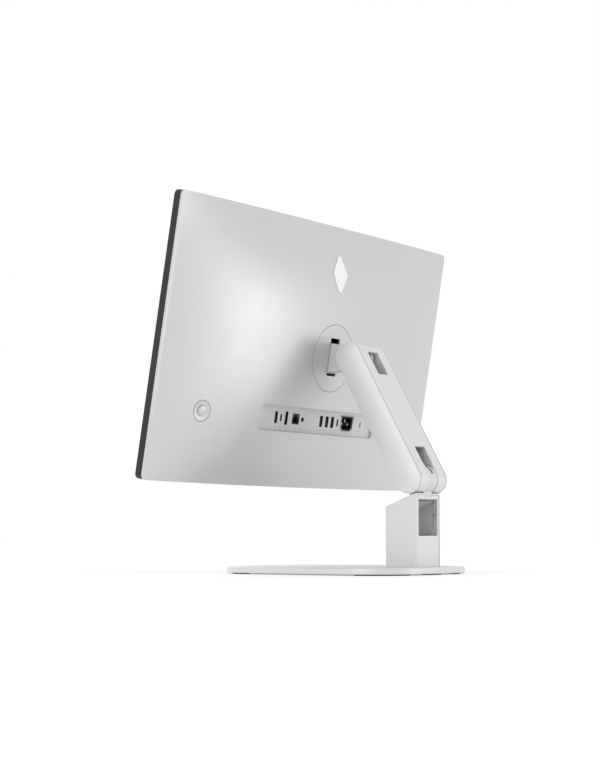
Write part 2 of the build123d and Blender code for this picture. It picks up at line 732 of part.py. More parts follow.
def heat_sink():
    """Fin stack in the fan's air stream."""
    x1, z1 = sink_middle()
    low = z1 - SINK_H / 2
    front = CHASSIS_BACK + 4
    back = PIPE_DEPTH + PIPE_R + FIN_MARGIN
    sink = block(x1 - SINK_W / 2, x1 + SINK_W / 2, front, front + 1.5, low, low + SINK_H)
    pitch = (SINK_W - FIN_T) / (FIN_COUNT - 1)
    for i in range(FIN_COUNT):
        x = x1 - SINK_W / 2 + i * pitch
        sink += block(x, x + FIN_T, front, back, low, low + SINK_H)
    bore_r = PIPE_R + 0.1
    sink -= rod_x(bore_r, CPU_X + PIPE_BEND_R, x1 + SINK_W, PIPE_DEPTH, z1)
    reach = CPU_X + PIPE_BEND_R
    sink -= block(reach - 2 * PIPE_BEND_R, reach, PIPE_DEPTH - bore_r - 0.3, back, low, low + SINK_H)
    return sink


def fan_housing():
    """Blower housing with a round inlet, an outlet to the fins and a bearing post."""
    front = CHASSIS_BACK
    back = front + FAN_T
    inner = FAN_R - FAN_WALL
    shell = rod_y(FAN_R, front, back, FAN_X, FAN_Z)
    shell -= rod_y(inner, front + FAN_WALL, back - FAN_WALL, FAN_X, FAN_Z)
    shell -= rod_y(FAN_INLET_R, back - 2 * FAN_WALL, back + 1, FAN_X, FAN_Z)
    outlet = 0.7 * FAN_R
    shell -= block(FAN_X - outlet, FAN_X + outlet, front + FAN_WALL, back - FAN_WALL,
                   FAN_Z + 0.5 * FAN_R, FAN_Z + FAN_R + 1)
    return shell + rod_y(FAN_SHAFT_R, front, back - FAN_SHAFT_GAP, FAN_X, FAN_Z)


def fan_rotor():
    """Blower wheel: a hub with thin blades and a base disc."""
    front = FAN_WALL + 0.6
    back = FAN_T - FAN_WALL - 1
    wheel = rod_y(HUB_R, front, back)
    wheel += rod_y(ROTOR_R, front, front + 0.8)
    for i in range(BLADE_COUNT):
        blade = block(HUB_R - 1, ROTOR_R, front, back, -0.4, 0.4)
        wheel += Rot(0, 360 * i / BLADE_COUNT, 0) * blade
    wheel -= rod_y(FAN_SHAFT_R + PIN_PLAY, front - 1, back - 1)
    return Pos(FAN_X, CHASSIS_BACK, FAN_Z) * wheel


def power_supply():
    """Flat power supply in its own case."""
    half_w = SUPPLY_W / 2
    half_h = SUPPLY_H / 2
    shallow = dome_depth(SUPPLY_X - half_w, SUPPLY_Z - half_h)
    back = shallow - COVER_WALL - SUPPLY_CLEARANCE
    case = block(SUPPLY_X - half_w, SUPPLY_X + half_w, CHASSIS_BACK, back,
                 SUPPLY_Z - half_h, SUPPLY_Z + half_h)
    return fillet(case.edges().filter_by(Axis.Y), 2)


def memory_modules():
    """Two memory modules side by side above the sockets."""
    low = PORT_Z + 14
    first = -BOARD_W / 2 + 14
    sticks = []
    for i in range(2):
        x = first + i * (MEMORY_W + 3)
        sticks.append(
            block(x, x + MEMORY_W, BOARD_BACK, BOARD_BACK + MEMORY_T, low, low + MEMORY_H)
        )
    return Part() + sticks


def solid_state_drive():
    """Flat storage drive below the sockets."""
    low = BOARD_LOW + 2
    return block(-SSD_W / 2, SSD_W / 2, BOARD_BACK, BOARD_BACK + SSD_T, low, low + SSD_H)


def speakers():
    """Two speaker boxes near the lower edge."""
    half_w = SPEAKER_W / 2
    half_h = SPEAKER_H / 2
    box = block(SPEAKER_X - half_w, SPEAKER_X + half_w, CHASSIS_BACK, CHASSIS_BACK + SPEAKER_T,
                SPEAKER_Z - half_h, SPEAKER_Z + half_h)
    box = fillet(box.edges().filter_by(Axis.Y), 3)
    return both_sides(box)


# ---------------------------------------------------------------- tilt hinge
def hinge_bracket():
    """Steel plate on the chassis with two cheeks that hold the tilt pin."""
    plate = back_prism(RectangleRounded(BRACKET_W, BRACKET_H, 6), CHASSIS_BACK, BRACKET_BACK)
    base = Pos(BRACKET_BACK, 0) * Rectangle(0.2, CHEEK_BASE)
    tip = Pos(TILT_DEPTH, 0) * Circle(CHEEK_R)
    outline = make_hull(base.edges() + tip.edges())
    plate += both_sides(side_prism(outline, CHEEK_X, CHEEK_X + CHEEK_T))
    plate -= rod_x(TILT_PIN_R + 0.03, -BRACKET_W, BRACKET_W, TILT_DEPTH, 0)
    for x, z in bracket_bolts():
        plate -= rod_y(BRACKET_BOLT_R + 0.1, CHASSIS_BACK, BRACKET_BACK, x, z)
    return plate


def bracket_screws():
    """Four screws through the hinge bracket into the chassis."""
    screws = []
    for x, z in bracket_bolts():
        head = rod_y(BRACKET_HEAD_R, BRACKET_BACK, BRACKET_BACK + 2.2, x, z)
        screws.append(head + rod_y(BRACKET_BOLT_R, FRAME_DEPTH, BRACKET_BACK, x, z))
    return Part() + screws


def headed_pin(radius, reach, head_r, head_t):
    """Pin along X through the origin, with a flat head at both ends."""
    pin = rod_x(radius, -reach - head_t, reach + head_t)
    return pin + both_sides(rod_x(head_r, reach, reach + head_t))


def washers(inner_r, outer_r, x0, x1):
    """Two friction washers, one on each side of the middle."""
    ring = rod_x(outer_r, x0, x1) - rod_x(inner_r + PIN_PLAY, x0 - 1, x1 + 1)
    return both_sides(ring)


def tilt_pin():
    """Pin of the tilt hinge."""
    return Pos(0, TILT_DEPTH, 0) * headed_pin(TILT_PIN_R, CHEEK_X + CHEEK_T + SEAM, 5.8, 1.6)


def tilt_washers():
    """Friction washers of the tilt hinge."""
    return Pos(0, TILT_DEPTH, 0) * washers(
        TILT_PIN_R, CHEEK_R, KNUCKLE_HALF_W + WASHER_PLAY, CHEEK_X - WASHER_PLAY
    )


def link_fork_cutter(side):
    """Space for the levelling link in a knuckle: side is 1 at the lower pivot, -1 at the upper."""
    size = 4 * ARM_R
    slab = block(-FORK_HALF_W, FORK_HALF_W, -size, size, -FORK_REACH, size)
    if side < 0:
        slab = mirror(slab, Plane.XY)
    return Pos(0, LINK_Y, LINK_Z) * Rot(180 - LINK_ANGLE, 0, 0) * slab


def head_link():
    """Level head between the arm's elbow and the tilt hinge."""
    front = Pos(TILT_Y, TILT_Z) * Circle(TONGUE_R)
    rear = Pos(ELBOW_Y, ELBOW_Z) * Circle(ELBOW_R)
    head = side_prism(make_hull(front.edges() + rear.edges()), -KNUCKLE_HALF_W, KNUCKLE_HALF_W)
    head -= rod_x(TILT_PIN_R + PIN_PLAY, -ARM_R, ARM_R, TILT_Y, TILT_Z)
    head -= rod_x(PIN_R + PIN_PLAY, -ARM_R, ARM_R, ELBOW_Y, ELBOW_Z)
    head -= PLACE_ELBOW * link_fork_cutter(-1)
    return head - rod_x(LINK_PIN_R, -ARM_R, ARM_R, ELBOW_Y + LINK_Y, ELBOW_Z + LINK_Z)


# ---------------------------------------------------------------- arm
def arm_outline(radius):
    """Long round-ended outline around both pivots."""
    return Pos(0, ARM_LENGTH / 2) * Rot(0, 0, 90) * SlotCenterToCenter(ARM_LENGTH, 2 * radius)


def head_slot_outline():
    """Side outline of the slot for the head link, seen from the upper pivot, with +y to the arm's back."""
    reach = 4 * ARM_R
    start = radians(BRIDGE_START)
    points = [
        (0, 0), (reach * sin(start), reach * cos(start)), (-reach, reach),
        (-reach, -FRONT_SLOT_HIGH), (0, -FRONT_SLOT_HIGH),
    ]
    return make_face(Polyline(*points, close=True))


def arm_frame():
    """Middle band of the arm with two ribs that carry the pivots."""
    band = side_prism(arm_outline(ARM_R), -BAND_HALF_W, BAND_HALF_W)
    rims = band.faces().filter_by(Axis.X).edges()
    band = chamfer(rims, SEAM_CHAMFER)
    band -= side_prism(arm_outline(ARM_R - BAND_WALL), -ARM_HALF_W, ARM_HALF_W)
    inner = side_prism(arm_outline(ARM_R - BAND_WALL / 2), RIB_X, RIB_X + RIB_T)
    band += both_sides(inner)
    side_room = block(RIB_X, BAND_HALF_W, -ARM_R, ARM_R, SPRING_HIGH, SPRING_HIGH + BULKHEAD_T)
    bulkhead = side_room & side_prism(arm_outline(ARM_R - BAND_WALL / 2), RIB_X, BAND_HALF_W)
    band += both_sides(bulkhead)
    band -= both_sides(rod_z(SPRING_ROD_R + 0.1, SPRING_HIGH - 1, SPRING_HIGH + 9, spring_x(), 0))
    half = SLOT_W / 2
    band -= block(-half, half, -2, 2 * ARM_R, -2 * ARM_R, LOWER_POCKET[0] + 1)
    band -= block(-half, half, -2 * ARM_R, 0, -2 * ARM_R, FRONT_SLOT_LOW)
    band -= Pos(0, 0, ARM_LENGTH) * side_prism(head_slot_outline(), -half, half)
    half = POCKET_W / 2
    band -= block(-half, half, 0, 2 * ARM_R, *LOWER_POCKET)
    band -= block(-half, half, 0, 2 * ARM_R, ARM_LENGTH - UPPER_POCKET[0], ARM_LENGTH - UPPER_POCKET[1])
    for z in (0, ARM_LENGTH):
        band -= rod_x(PIN_R + PIN_PLAY, -BAND_HALF_W, BAND_HALF_W, 0, z)
    return band


def crowned_pill(radius, start, rim, crown, rounding):
    """Long round-ended plate with a crowned face, between the two pivots."""
    outline = Polyline((rim, radius), (start, radius), (start, -radius), (rim, -radius))
    outline += ThreePointArc((rim, -radius), (crown, 0), (rim, radius))
    section = make_face(outline)
    corners = section.vertices().sort_by(Axis.X)[2:]
    section = fillet(corners, rounding)
    plate = extrude(section, amount=ARM_LENGTH)
    half = section & Pos((start + crown) / 2, radius / 2) * Rectangle(2 * crown, radius)
    end_cap = revolve(half, Axis.X, 360)
    return plate + end_cap + Pos(0, 0, ARM_LENGTH) * end_cap


def arm_cover():
    """Crowned side cover of the arm, on the +X side."""
    rim = BAND_HALF_W + COVER_RIM
    plate = crowned_pill(ARM_R, BAND_HALF_W, rim, ARM_HALF_W, COVER_ROUND)
    plate = chamfer(plate.faces().sort_by(Axis.X)[0].edges(), SEAM_CHAMFER)
    hollow_rim = rim - COVER_SKIN + 0.4
    hollow_crown = ARM_HALF_W - COVER_SKIN
    hollow_r = ARM_R - BAND_WALL
    return plate - crowned_pill(hollow_r, BAND_HALF_W - 1, hollow_rim, hollow_crown, COVER_ROUND)


def spring_x():
    """Distance of each lift spring from the arm's middle plane."""
    return CAM_X + CAM_T / 2


def lift_springs():
    """Outer envelope of the two coil springs, as hollow sleeves."""
    coil = rod_z(SPRING_R, SPRING_LOW, SPRING_HIGH, spring_x(), 0)
    return both_sides(coil - rod_z(SPRING_R - SPRING_WIRE, SPRING_LOW, SPRING_HIGH, spring_x(), 0))


def spring_rods():
    """Guide rods of the springs, with a nut above the bulkhead."""
    top = SPRING_HIGH + BULKHEAD_T
    rod = rod_z(SPRING_ROD_R, SPRING_LOW - 6, top, spring_x(), 0)
    return both_sides(rod + rod_z(SPRING_R, top, top + 3, spring_x(), 0))


def spring_followers():
    """Blocks that press the springs against the cams."""
    low = CAM_R + FOLLOWER_GAP
    half = FOLLOWER_HALF_W
    follower = block(spring_x() - half, spring_x() + half, -SPRING_R, SPRING_R, low, SPRING_LOW)
    return both_sides(follower - rod_z(SPRING_ROD_R + 0.1, low + 4, SPRING_LOW, spring_x(), 0))


def lift_cams():
    """Cams on the lower pivot pin that the springs press on."""
    cam = rod_x(CAM_R, CAM_X, CAM_X + CAM_T) - rod_x(PIN_R + 0.02, CAM_X - 1, CAM_X + CAM_T + 1)
    return PLACE_PIVOT * both_sides(cam)


def lift_pin():
    """Pin of the lower pivot, fixed to the pillar."""
    return PLACE_PIVOT * headed_pin(PIN_R, CAM_X + CAM_T, NUT_R, NUT_T)


def elbow_pin():
    """Pin of the upper pivot."""
    return Pos(0, 0, ARM_LENGTH) * headed_pin(PIN_R, RIB_X + RIB_T, NUT_R, NUT_T)


def pivot_washers():
    """Washers between the knuckles and the arm's ribs, two at each pivot."""
    pair = washers(PIN_R, WASHER_R, KNUCKLE_HALF_W + WASHER_PLAY, RIB_X - WASHER_PLAY)
    return pair + Pos(0, 0, ARM_LENGTH) * pair


def levelling_link():
    """Bar that keeps the head level while the arm swings."""
    lower = Pos(PIVOT_Y + LINK_Y, PIVOT_Z + LINK_Z)
    upper = Pos(ELBOW_Y + LINK_Y, ELBOW_Z + LINK_Z)
    eyes = [place * Circle(LINK_EYE_R) for place in (lower, upper)]
    bar = make_hull((lower * Circle(LINK_BAR_H / 2)).edges() + (upper * Circle(LINK_BAR_H / 2)).edges())
    link = side_prism(bar, -LINK_HALF_T, LINK_HALF_T)
    for eye in eyes:
        link += side_prism(eye, -LINK_HALF_T, LINK_HALF_T)
    for place in (lower, upper):
        hole = place * Circle(LINK_PIN_R + LINK_PIN_PLAY)
        link -= side_prism(hole, -2 * LINK_HALF_T, 2 * LINK_HALF_T)
    return link


def link_pin(y, z):
    """Pin of the levelling link in a knuckle."""
    return rod_x(LINK_PIN_R - 0.01, -KNUCKLE_HALF_W, KNUCKLE_HALF_W, y + LINK_Y, z + LINK_Z)


# ---------------------------------------------------------------- pillar and base
def window_ceiling(y):
    """Height of the cable window's ceiling at a depth y."""
    return WINDOW_HIGH - (PILLAR_BACK - y) * tan(radians(WINDOW_SLOPE))


def pillar_top(y):
    """Height of the pillar's top at a depth y."""
    if y > PILLAR_KINK_Y:
        rise = (PILLAR_BACK_H - PILLAR_KINK_H) / (PILLAR_BACK - PILLAR_KINK_Y)
        return PILLAR_KINK_H + (y - PILLAR_KINK_Y) * rise
    rise = (PILLAR_KINK_H - PILLAR_FRONT_H) / (PILLAR_KINK_Y - PILLAR_FRONT)
    return PILLAR_FRONT_H + (y - PILLAR_FRONT) * rise


def pillar_outline(y0, y1, low, drop):
    """Side outline of the pillar between two depths, with its top lowered by a drop."""
    points = [(y0, low), (y1, low), (y1, pillar_top(y1) - drop)]
    if y0 < PILLAR_KINK_Y < y1:
        points.append((PILLAR_KINK_Y, PILLAR_KINK_H - drop))
    points.append((y0, pillar_top(y0) - drop))
    return make_face(Polyline(*points, close=True))


def window_outline(y0, y1, grow):
    """Side outline of the cable window, grown upwards and downwards."""
    lift = grow / cos(radians(WINDOW_SLOPE))
    points = [
        (y0, WINDOW_LOW - grow), (y1, WINDOW_LOW - grow),
        (y1, window_ceiling(y1) + lift), (y0, window_ceiling(y0) + lift),
    ]
    return make_face(Polyline(*points, close=True))


def window_prism(grow):
    """The cable window's space, grown all round."""
    half = WINDOW_HALF_W + grow
    return side_prism(window_outline(PILLAR_FRONT - 5, PILLAR_BACK + 5, grow), -half, half)


def neck_slot():
    """Space for the neck in the pillar's top."""
    half = KNUCKLE_HALF_W + SEAM
    return block(-half, half, NECK_FRONT - SEAM, PILLAR_BACK + 1, neck_foot(), 2 * PILLAR_BACK_H)


def neck_foot():
    """Height of the lowest part of the neck behind the core."""
    return WINDOW_HIGH + DUCT_WALL + 1.9


def pillar_shell():
    """Front, sides and top of the pillar's skin, open at the back and below."""
    outline = pillar_outline(PILLAR_FRONT, PILLAR_BACK, PLATE_TOP, 0)
    outer = side_prism(outline, -PILLAR_HALF_W, PILLAR_HALF_W)
    corners = outer.edges().filter_by(Axis.Z).sort_by(Axis.Y)
    outer = fillet(corners[:2], PILLAR_FRONT_ROUND)
    corners = outer.edges().filter_by(Axis.Z).sort_by(Axis.Y)
    outer = fillet(corners[-2:], PILLAR_REAR_ROUND)
    inner_half = PILLAR_HALF_W - PILLAR_WALL
    room = pillar_outline(PILLAR_FRONT + PILLAR_WALL, PILLAR_BACK + 1, PLATE_TOP - 1, PILLAR_WALL)
    shell = outer - side_prism(room, -inner_half, inner_half) - window_prism(0)
    half = KNUCKLE_HALF_W + SEAM
    slot_low = PLATE_TOP + BASE_T
    return shell - block(-half, half, NECK_FRONT - SEAM, PILLAR_BACK + 1, slot_low, 2 * PILLAR_BACK_H)


def pillar_rear_cover():
    """Flat rear cover between the pillar's sides, with the mouth of the cable window."""
    front = PILLAR_BACK - REAR_COVER_T
    outline = pillar_outline(front, PILLAR_BACK - SEAM, PLATE_TOP, PILLAR_WALL + SEAM)
    half = PILLAR_HALF_W - PILLAR_WALL - SEAM
    return side_prism(outline, -half, half) - window_prism(0) - neck_slot()


def cable_duct():
    """Sleeve that lines the cable window from front to back."""
    back = PILLAR_BACK - REAR_COVER_T
    half = WINDOW_HALF_W + DUCT_WALL
    front = PILLAR_FRONT + PILLAR_WALL
    sleeve = side_prism(window_outline(front, back, DUCT_WALL), -half, half)
    return sleeve - window_prism(0)


def core_top(y):
    """Height of the steel core's top at a depth y."""
    return pillar_top(y) - PILLAR_WALL - 0.3


def pillar_core():
    """Bent steel carrier from the base plate to the neck, around the cable duct."""
    half = PILLAR_HALF_W - PILLAR_WALL - SEAM
    front = PILLAR_FRONT + PILLAR_WALL + 1.2
    back = PILLAR_BACK - REAR_COVER_T - 1.5
    outline = pillar_outline(front, back, PLATE_TOP, PILLAR_WALL + 0.3)
    core = side_prism(outline, -half, half)
    inner = half - CORE_T
    duct_top = DUCT_WALL + 0.2
    core -= side_prism(window_outline(front - 5, back + 5, duct_top), -inner, inner)
    room_top = WINDOW_LOW - DUCT_WALL
    core -= block(-inner, inner, front - 5, back + 5, PLATE_TOP + CORE_FLANGE_T, room_top)
    for x, y in base_bolts():
        core -= rod_z(BASE_BOLT_R + 0.1, 0, PLATE_TOP + CORE_FLANGE_T + 1, x, y)
    return core


def base_bolts():
    """Places of the four screws between base plate and pillar core."""
    return [
        (x, PILLAR_MID_Y + y) for x in (-BASE_BOLT_X, BASE_BOLT_X) for y in (-BASE_BOLT_Y, BASE_BOLT_Y)
    ]


def knuckle():
    """Neck and knuckle that carry the arm's lower pivot."""
    barrel = side_prism(Pos(PIVOT_Y, PIVOT_Z) * Circle(KNUCKLE_R), -KNUCKLE_HALF_W, KNUCKLE_HALF_W)
    core_back = PILLAR_BACK - REAR_COVER_T - 1.5
    foot = neck_foot() + SEAM
    points = [
        (NECK_FRONT, core_top(NECK_FRONT)), (PILLAR_KINK_Y, core_top(PILLAR_KINK_Y)),
        (core_back, core_top(core_back)), (core_back + 0.2, foot),
        (NECK_BACK, foot), (NECK_BACK, PIVOT_Z), (NECK_FRONT, PIVOT_Z),
    ]
    neck = side_prism(make_face(Polyline(*points, close=True)), -KNUCKLE_HALF_W, KNUCKLE_HALF_W)
    block_part = barrel + neck
    block_part -= PLACE_PIVOT * link_fork_cutter(1)
    block_part -= rod_x(PIN_R + 0.02, -ARM_R, ARM_R, PIVOT_Y, PIVOT_Z)
    return block_part - rod_x(LINK_PIN_R, -ARM_R, ARM_R, PIVOT_Y + LINK_Y, PIVOT_Z + LINK_Z)


def base_plate():
    """Flat round-cornered base plate."""
    plate = extrude(RectangleRounded(BASE_W, BASE_D, BASE_R), amount=BASE_T)
    plate = fillet(plate.faces().sort_by(Axis.Z)[-1].edges(), BASE_ROUND)
    plate = chamfer(plate.faces().sort_by(Axis.Z)[0].edges(), 0.8)
    plate = Pos(0, 0, FOOT_T) * plate
    for x, y in base_bolts():
        plate -= rod_z(BASE_BOLT_R + 0.1, 0, PLATE_TOP + 1, x, y)
        plate -= rod_z(BASE_HEAD_R + 0.2, 0, FOOT_T + BASE_HEAD_T + 0.4, x, y)
    return plate


def base_screws():
    """Four screws from under the base plate into the pillar core."""
    low = FOOT_T + 0.4
    screws = []
    for x, y in base_bolts():
        head = rod_z(BASE_HEAD_R, low, low + BASE_HEAD_T, x, y)
        screws.append(head + rod_z(BASE_BOLT_R, low, PLATE_TOP + CORE_FLANGE_T, x, y))
    return Part() + screws


def rubber_feet():
    """Curved rubber pads at the corners and straight pads at the middle of each end."""
    centre_r = BASE_R - FOOT_INSET
    ring = Circle(centre_r) - Circle(centre_r - FOOT_W)
    wedge_r = 2 * BASE_R
    half = radians(FOOT_ARC)
    wedge = Polygon((0, 0), (wedge_r * cos(half), wedge_r * sin(half)),
                    (wedge_r * cos(half), -wedge_r * sin(half)), align=None)
    pads = []
    for i, (sx, sy) in enumerate(((1, 1), (-1, 1), (-1, -1), (1, -1))):
        place = Pos(sx * (BASE_W / 2 - BASE_R), sy * (BASE_D / 2 - BASE_R))
        pads.append(extrude(place * Rot(0, 0, 45 + 90 * i) * (ring & wedge), amount=FOOT_T))
    for sy in (1, -1):
        y = sy * (BASE_D / 2 - FOOT_INSET - FOOT_W / 2)
        pads.append(extrude(Pos(0, y) * SlotOverall(40, FOOT_W), amount=FOOT_T))
    return Part() + pads


# ---------------------------------------------------------------- assembly
def screen_nodes():
    """Every node of the screen unit, in the screen's own frame."""
    outer = under_dome(0)
    inner = under_dome(-COVER_WALL)
    return {
        "front_glass": front_glass(),
        "front_frame": front_frame(),
        "lcd_module": lcd_module(),
        "webcam_module": webcam_module(),
        "chassis_plate": chassis_plate(),
        "back_cover": back_cover(outer, inner),
        "mount_cover": mount_cover(outer),
        "badge": badge(),
        "power_button": power_button(),
        "button_bezel": button_bezel(),
        "switch_board": switch_board(),
        "connector_plate": connector_plate(),
        "hdmi_socket": hdmi_socket(),
        "displayport_socket": displayport_socket(),
        "usb_c_sockets": usb_c_sockets(),
        "usb_a_sockets": usb_a_sockets(),
        "lan_socket": lan_socket(),
        "audio_socket": audio_socket(),
        "power_inlet": power_inlet(),
        "inlet_blades": inlet_blades(),
        "socket_tongues": socket_tongues(),
        "lock_slot": lock_slot(),
        "mainboard": mainboard(),
        "board_screws": board_screws(),
        "processor": processor(),
        "cold_plate": cold_plate(),
        "heat_pipe": heat_pipe(),
        "heat_sink": heat_sink(),
        "fan_housing": fan_housing(),
        "fan_rotor": fan_rotor(),
        "power_supply": power_supply(),
        "memory_modules": memory_modules(),
        "solid_state_drive": solid_state_drive(),
        "speakers": speakers(),
        "hinge_bracket": hinge_bracket(),
        "bracket_screws": bracket_screws(),
        "tilt_pin": tilt_pin(),
        "tilt_washers": tilt_washers(),
    }


def arm_nodes():
    """Every node that swings with the arm, in the arm's own frame."""
    cover = arm_cover()
    return {
        "arm_frame": arm_frame(),
        "arm_cover_left": cover,
        "arm_cover_right": mirror(cover, Plane.YZ),
        "lift_springs": lift_springs(),
        "spring_rods": spring_rods(),
        "spring_followers": spring_followers(),
        "elbow_pin": elbow_pin(),
        "pivot_washers": pivot_washers(),
    }


def stand_nodes():
    """Every other node, in the computer's frame."""
    return {
        "head_link": head_link(),
        "link_pin_upper": link_pin(ELBOW_Y, ELBOW_Z),
        "levelling_link": levelling_link(),
        "link_pin_lower": link_pin(PIVOT_Y, PIVOT_Z),
        "lift_pin": lift_pin(),
        "lift_cams": lift_cams(),
        "knuckle": knuckle(),
        "pillar_shell": pillar_shell(),
        "pillar_rear_cover": pillar_rear_cover(),
        "cable_duct": cable_duct(),
        "pillar_core": pillar_core(),
        "base_plate": base_plate(),
        "base_screws": base_screws(),
        "rubber_feet": rubber_feet(),
    }


def main():
    """Place every node and write it to its own file."""
    nodes = {name: PLACE_SCREEN * part for name, part in screen_nodes().items()}
    nodes.update({name: PLACE_ARM * part for name, part in arm_nodes().items()})
    nodes.update(stand_nodes())
    os.makedirs("parts", exist_ok=True)
    for name, part in nodes.items():
        export_step(part, f"parts/{name}.step")


main()
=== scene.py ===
import json
import math

import bmesh
import bpy
from mathutils import Matrix, Vector
from mathutils.bvhtree import BVHTree


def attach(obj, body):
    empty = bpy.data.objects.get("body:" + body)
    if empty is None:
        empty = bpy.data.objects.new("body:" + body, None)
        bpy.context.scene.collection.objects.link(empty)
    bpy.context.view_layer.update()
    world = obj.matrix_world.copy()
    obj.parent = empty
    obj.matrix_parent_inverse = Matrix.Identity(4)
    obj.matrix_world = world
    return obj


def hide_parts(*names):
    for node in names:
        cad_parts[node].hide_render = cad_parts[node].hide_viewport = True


# Looks of the all-in-one computer: camera, studio, materials and the fine pieces on the CAD frame.
# Lengths are metres. Fine pieces of the screen are laid out in the screen's own frame: x across,
# y depth behind the glass, z up. Those of the arm have z along the arm from its lower pivot.

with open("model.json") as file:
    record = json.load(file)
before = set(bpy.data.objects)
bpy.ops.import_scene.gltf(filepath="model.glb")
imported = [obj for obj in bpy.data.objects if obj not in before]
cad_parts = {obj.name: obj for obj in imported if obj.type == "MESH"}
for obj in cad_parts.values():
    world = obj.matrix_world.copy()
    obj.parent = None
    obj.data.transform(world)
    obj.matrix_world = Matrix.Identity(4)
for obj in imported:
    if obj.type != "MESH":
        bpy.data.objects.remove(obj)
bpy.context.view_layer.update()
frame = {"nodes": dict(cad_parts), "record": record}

MM = 0.001
TILT = math.radians(9.94)
TILT_DEPTH = 42.0 * MM
SHARP_ANGLE = math.radians(32)

CAMERA_LENS = 81.14
CAMERA_SENSOR = 36
CAMERA_HEADING = math.radians(54.255)
CAMERA_PITCH = math.radians(5.128)
CAMERA_PLACE = Vector((1890.3, 1286.5, 47.6)) * MM
WORLD_DIM_SIDE = (0.34, 0.94, -0.1)
WORLD_DIM_SPAN = (0.50, 0.95)
WORLD_LEVELS = (1.0, 0.60)
FLOOR_HALF = 15
FLOOR_GREY = 0.84
FLOOR_GLOW = 0.2
LIGHTS = (  # name, place, target, size, power
    ("key_softbox", (-0.74, 1.22, 0.20), (0.15, -0.03, 0.33), 0.45, 1.5),
    ("side_softbox", (2.6, 0.3, 0.9), (0.0, 0.05, 0.2), 1.5, 9),
    ("front_softbox", (-0.9, -2.6, 1.5), (0.0, 0.0, 0.25), 1.6, 6),
)

# Painted shade in narrow gaps: the colour darkens where the ambient occlusion sees little open sky.
GAP_LIGHT = (0.30, 0.62)  # share of open sky at which a gap is fully dark, and at which it is plain
GAP_SHADE = 0.12
BUTTON_R = 6.4 * MM
COVER_WALL = 2.0 * MM
SEAM_HALF = 0.3 * MM
CLOTH_LENGTH = 330 * MM
CLOTH_T = 0.8 * MM
CLOTH_GAP = 0.1 * MM
CLOTH_DEPTHS = (13.6 * MM, 18.0 * MM)
MARK_BASE_DROP = 3.2 * MM
MARK_ROW_GAP = 1.5 * MM
MARK_LOW_DROP = 1.7 * MM
BAR_MARK = (3.4, 0.8)
SHORT_BAR_MARK = (2.6, 0.8)
DASH_MARK = (1.4, 0.8)
DOT_MARK = (0.9, 0.9)
TALL_MARK = (0.7, 3.0)
CONTACT_PITCH = 1.3 * MM
LAN_CONTACTS = 8
LAN_PITCH = 1.1 * MM
LAN_WIRE_R = 0.22 * MM
JACK_RING_R = 2.7 * MM
GLASS_SUNK = 0.02 * MM
GLASS_PROUD = 0.04 * MM
WIRE_R = 0.9 * MM
SPRING_TURNS = 26
STEPS_PER_TURN = 16
HEX_R = 2.2 * MM
ACROSS = Vector((1, 0, 0))
OUTWARD = Vector((0, 1, 0))


def joint_place(name):
    """Place of a joint in the row frame."""
    joints = frame["record"]["behaviour"]["joints"]
    return Vector(next(joint["pos_m"] for joint in joints if joint["name"] == name))


def joint_axis(name):
    """Axis of a joint in the row frame."""
    joints = frame["record"]["behaviour"]["joints"]
    return Vector(next(joint["axis"] for joint in joints if joint["name"] == name)).normalized()


ELBOW = joint_place("head_level")
PIVOT = joint_place("arm_lift")
ARM_LEAN = math.atan2(PIVOT.y - ELBOW.y, ELBOW.z - PIVOT.z)
SCREEN = (
    Matrix.Translation(joint_place("screen_tilt"))
    @ Matrix.Rotation(-TILT, 4, "X")
    @ Matrix.Translation((0, -TILT_DEPTH, 0))
)
ARM = Matrix.Translation(PIVOT) @ Matrix.Rotation(ARM_LEAN, 4, "X")
ROW = Matrix.Identity(4)


# ------------------------------------------------------------------ camera and studio
def make_camera():
    """Camera low behind the computer, looking slightly up at the screen's back."""
    data = bpy.data.cameras.new("camera")
    data.lens = CAMERA_LENS
    data.sensor_width = CAMERA_SENSOR
    camera = bpy.data.objects.new("camera", data)
    bpy.context.scene.collection.objects.link(camera)
    level = math.cos(CAMERA_PITCH)
    look = Vector((
        -math.sin(CAMERA_HEADING) * level, -math.cos(CAMERA_HEADING) * level, math.sin(CAMERA_PITCH)
    ))
    camera.location = CAMERA_PLACE
    camera.rotation_euler = look.to_track_quat("-Z", "Y").to_euler()
    bpy.context.scene.camera = camera


def area_light(name, place, target, size, power):
    """Soft square light that faces a target."""
    data = bpy.data.lights.new(name, "AREA")
    data.shape = "SQUARE"
    data.size = size
    data.energy = power
    light = bpy.data.objects.new(name, data)
    light.location = place
    light.visible_camera = False
    light.rotation_euler = (Vector(target) - Vector(place)).to_track_quat("-Z", "Y").to_euler()
    bpy.context.scene.collection.objects.link(light)


def make_world():
    """Pale surroundings, seen as plain white, that light a little less from behind the camera."""
    world = bpy.data.worlds.new("studio")
    world.use_nodes = True
    tree = world.node_tree
    background = tree.nodes["Background"]
    background.inputs["Color"].default_value = (1, 1, 1, 1)
    place = tree.nodes.new("ShaderNodeTexCoord")
    facing = tree.nodes.new("ShaderNodeVectorMath")
    facing.operation = "DOT_PRODUCT"
    facing.inputs[1].default_value = WORLD_DIM_SIDE
    tree.links.new(place.outputs["Generated"], facing.inputs[0])
    level = tree.nodes.new("ShaderNodeMapRange")
    for socket, value in zip(("From Min", "From Max", "To Min", "To Max"), WORLD_DIM_SPAN + WORLD_LEVELS):
        level.inputs[socket].default_value = value
    tree.links.new(facing.outputs["Value"], level.inputs["Value"])
    path = tree.nodes.new("ShaderNodeLightPath")
    seen = tree.nodes.new("ShaderNodeMath")
    seen.operation = "MAXIMUM"
    tree.links.new(path.outputs["Is Camera Ray"], seen.inputs[0])
    tree.links.new(level.outputs["Result"], seen.inputs[1])
    tree.links.new(seen.outputs["Value"], background.inputs["Strength"])
    bpy.context.scene.world = world


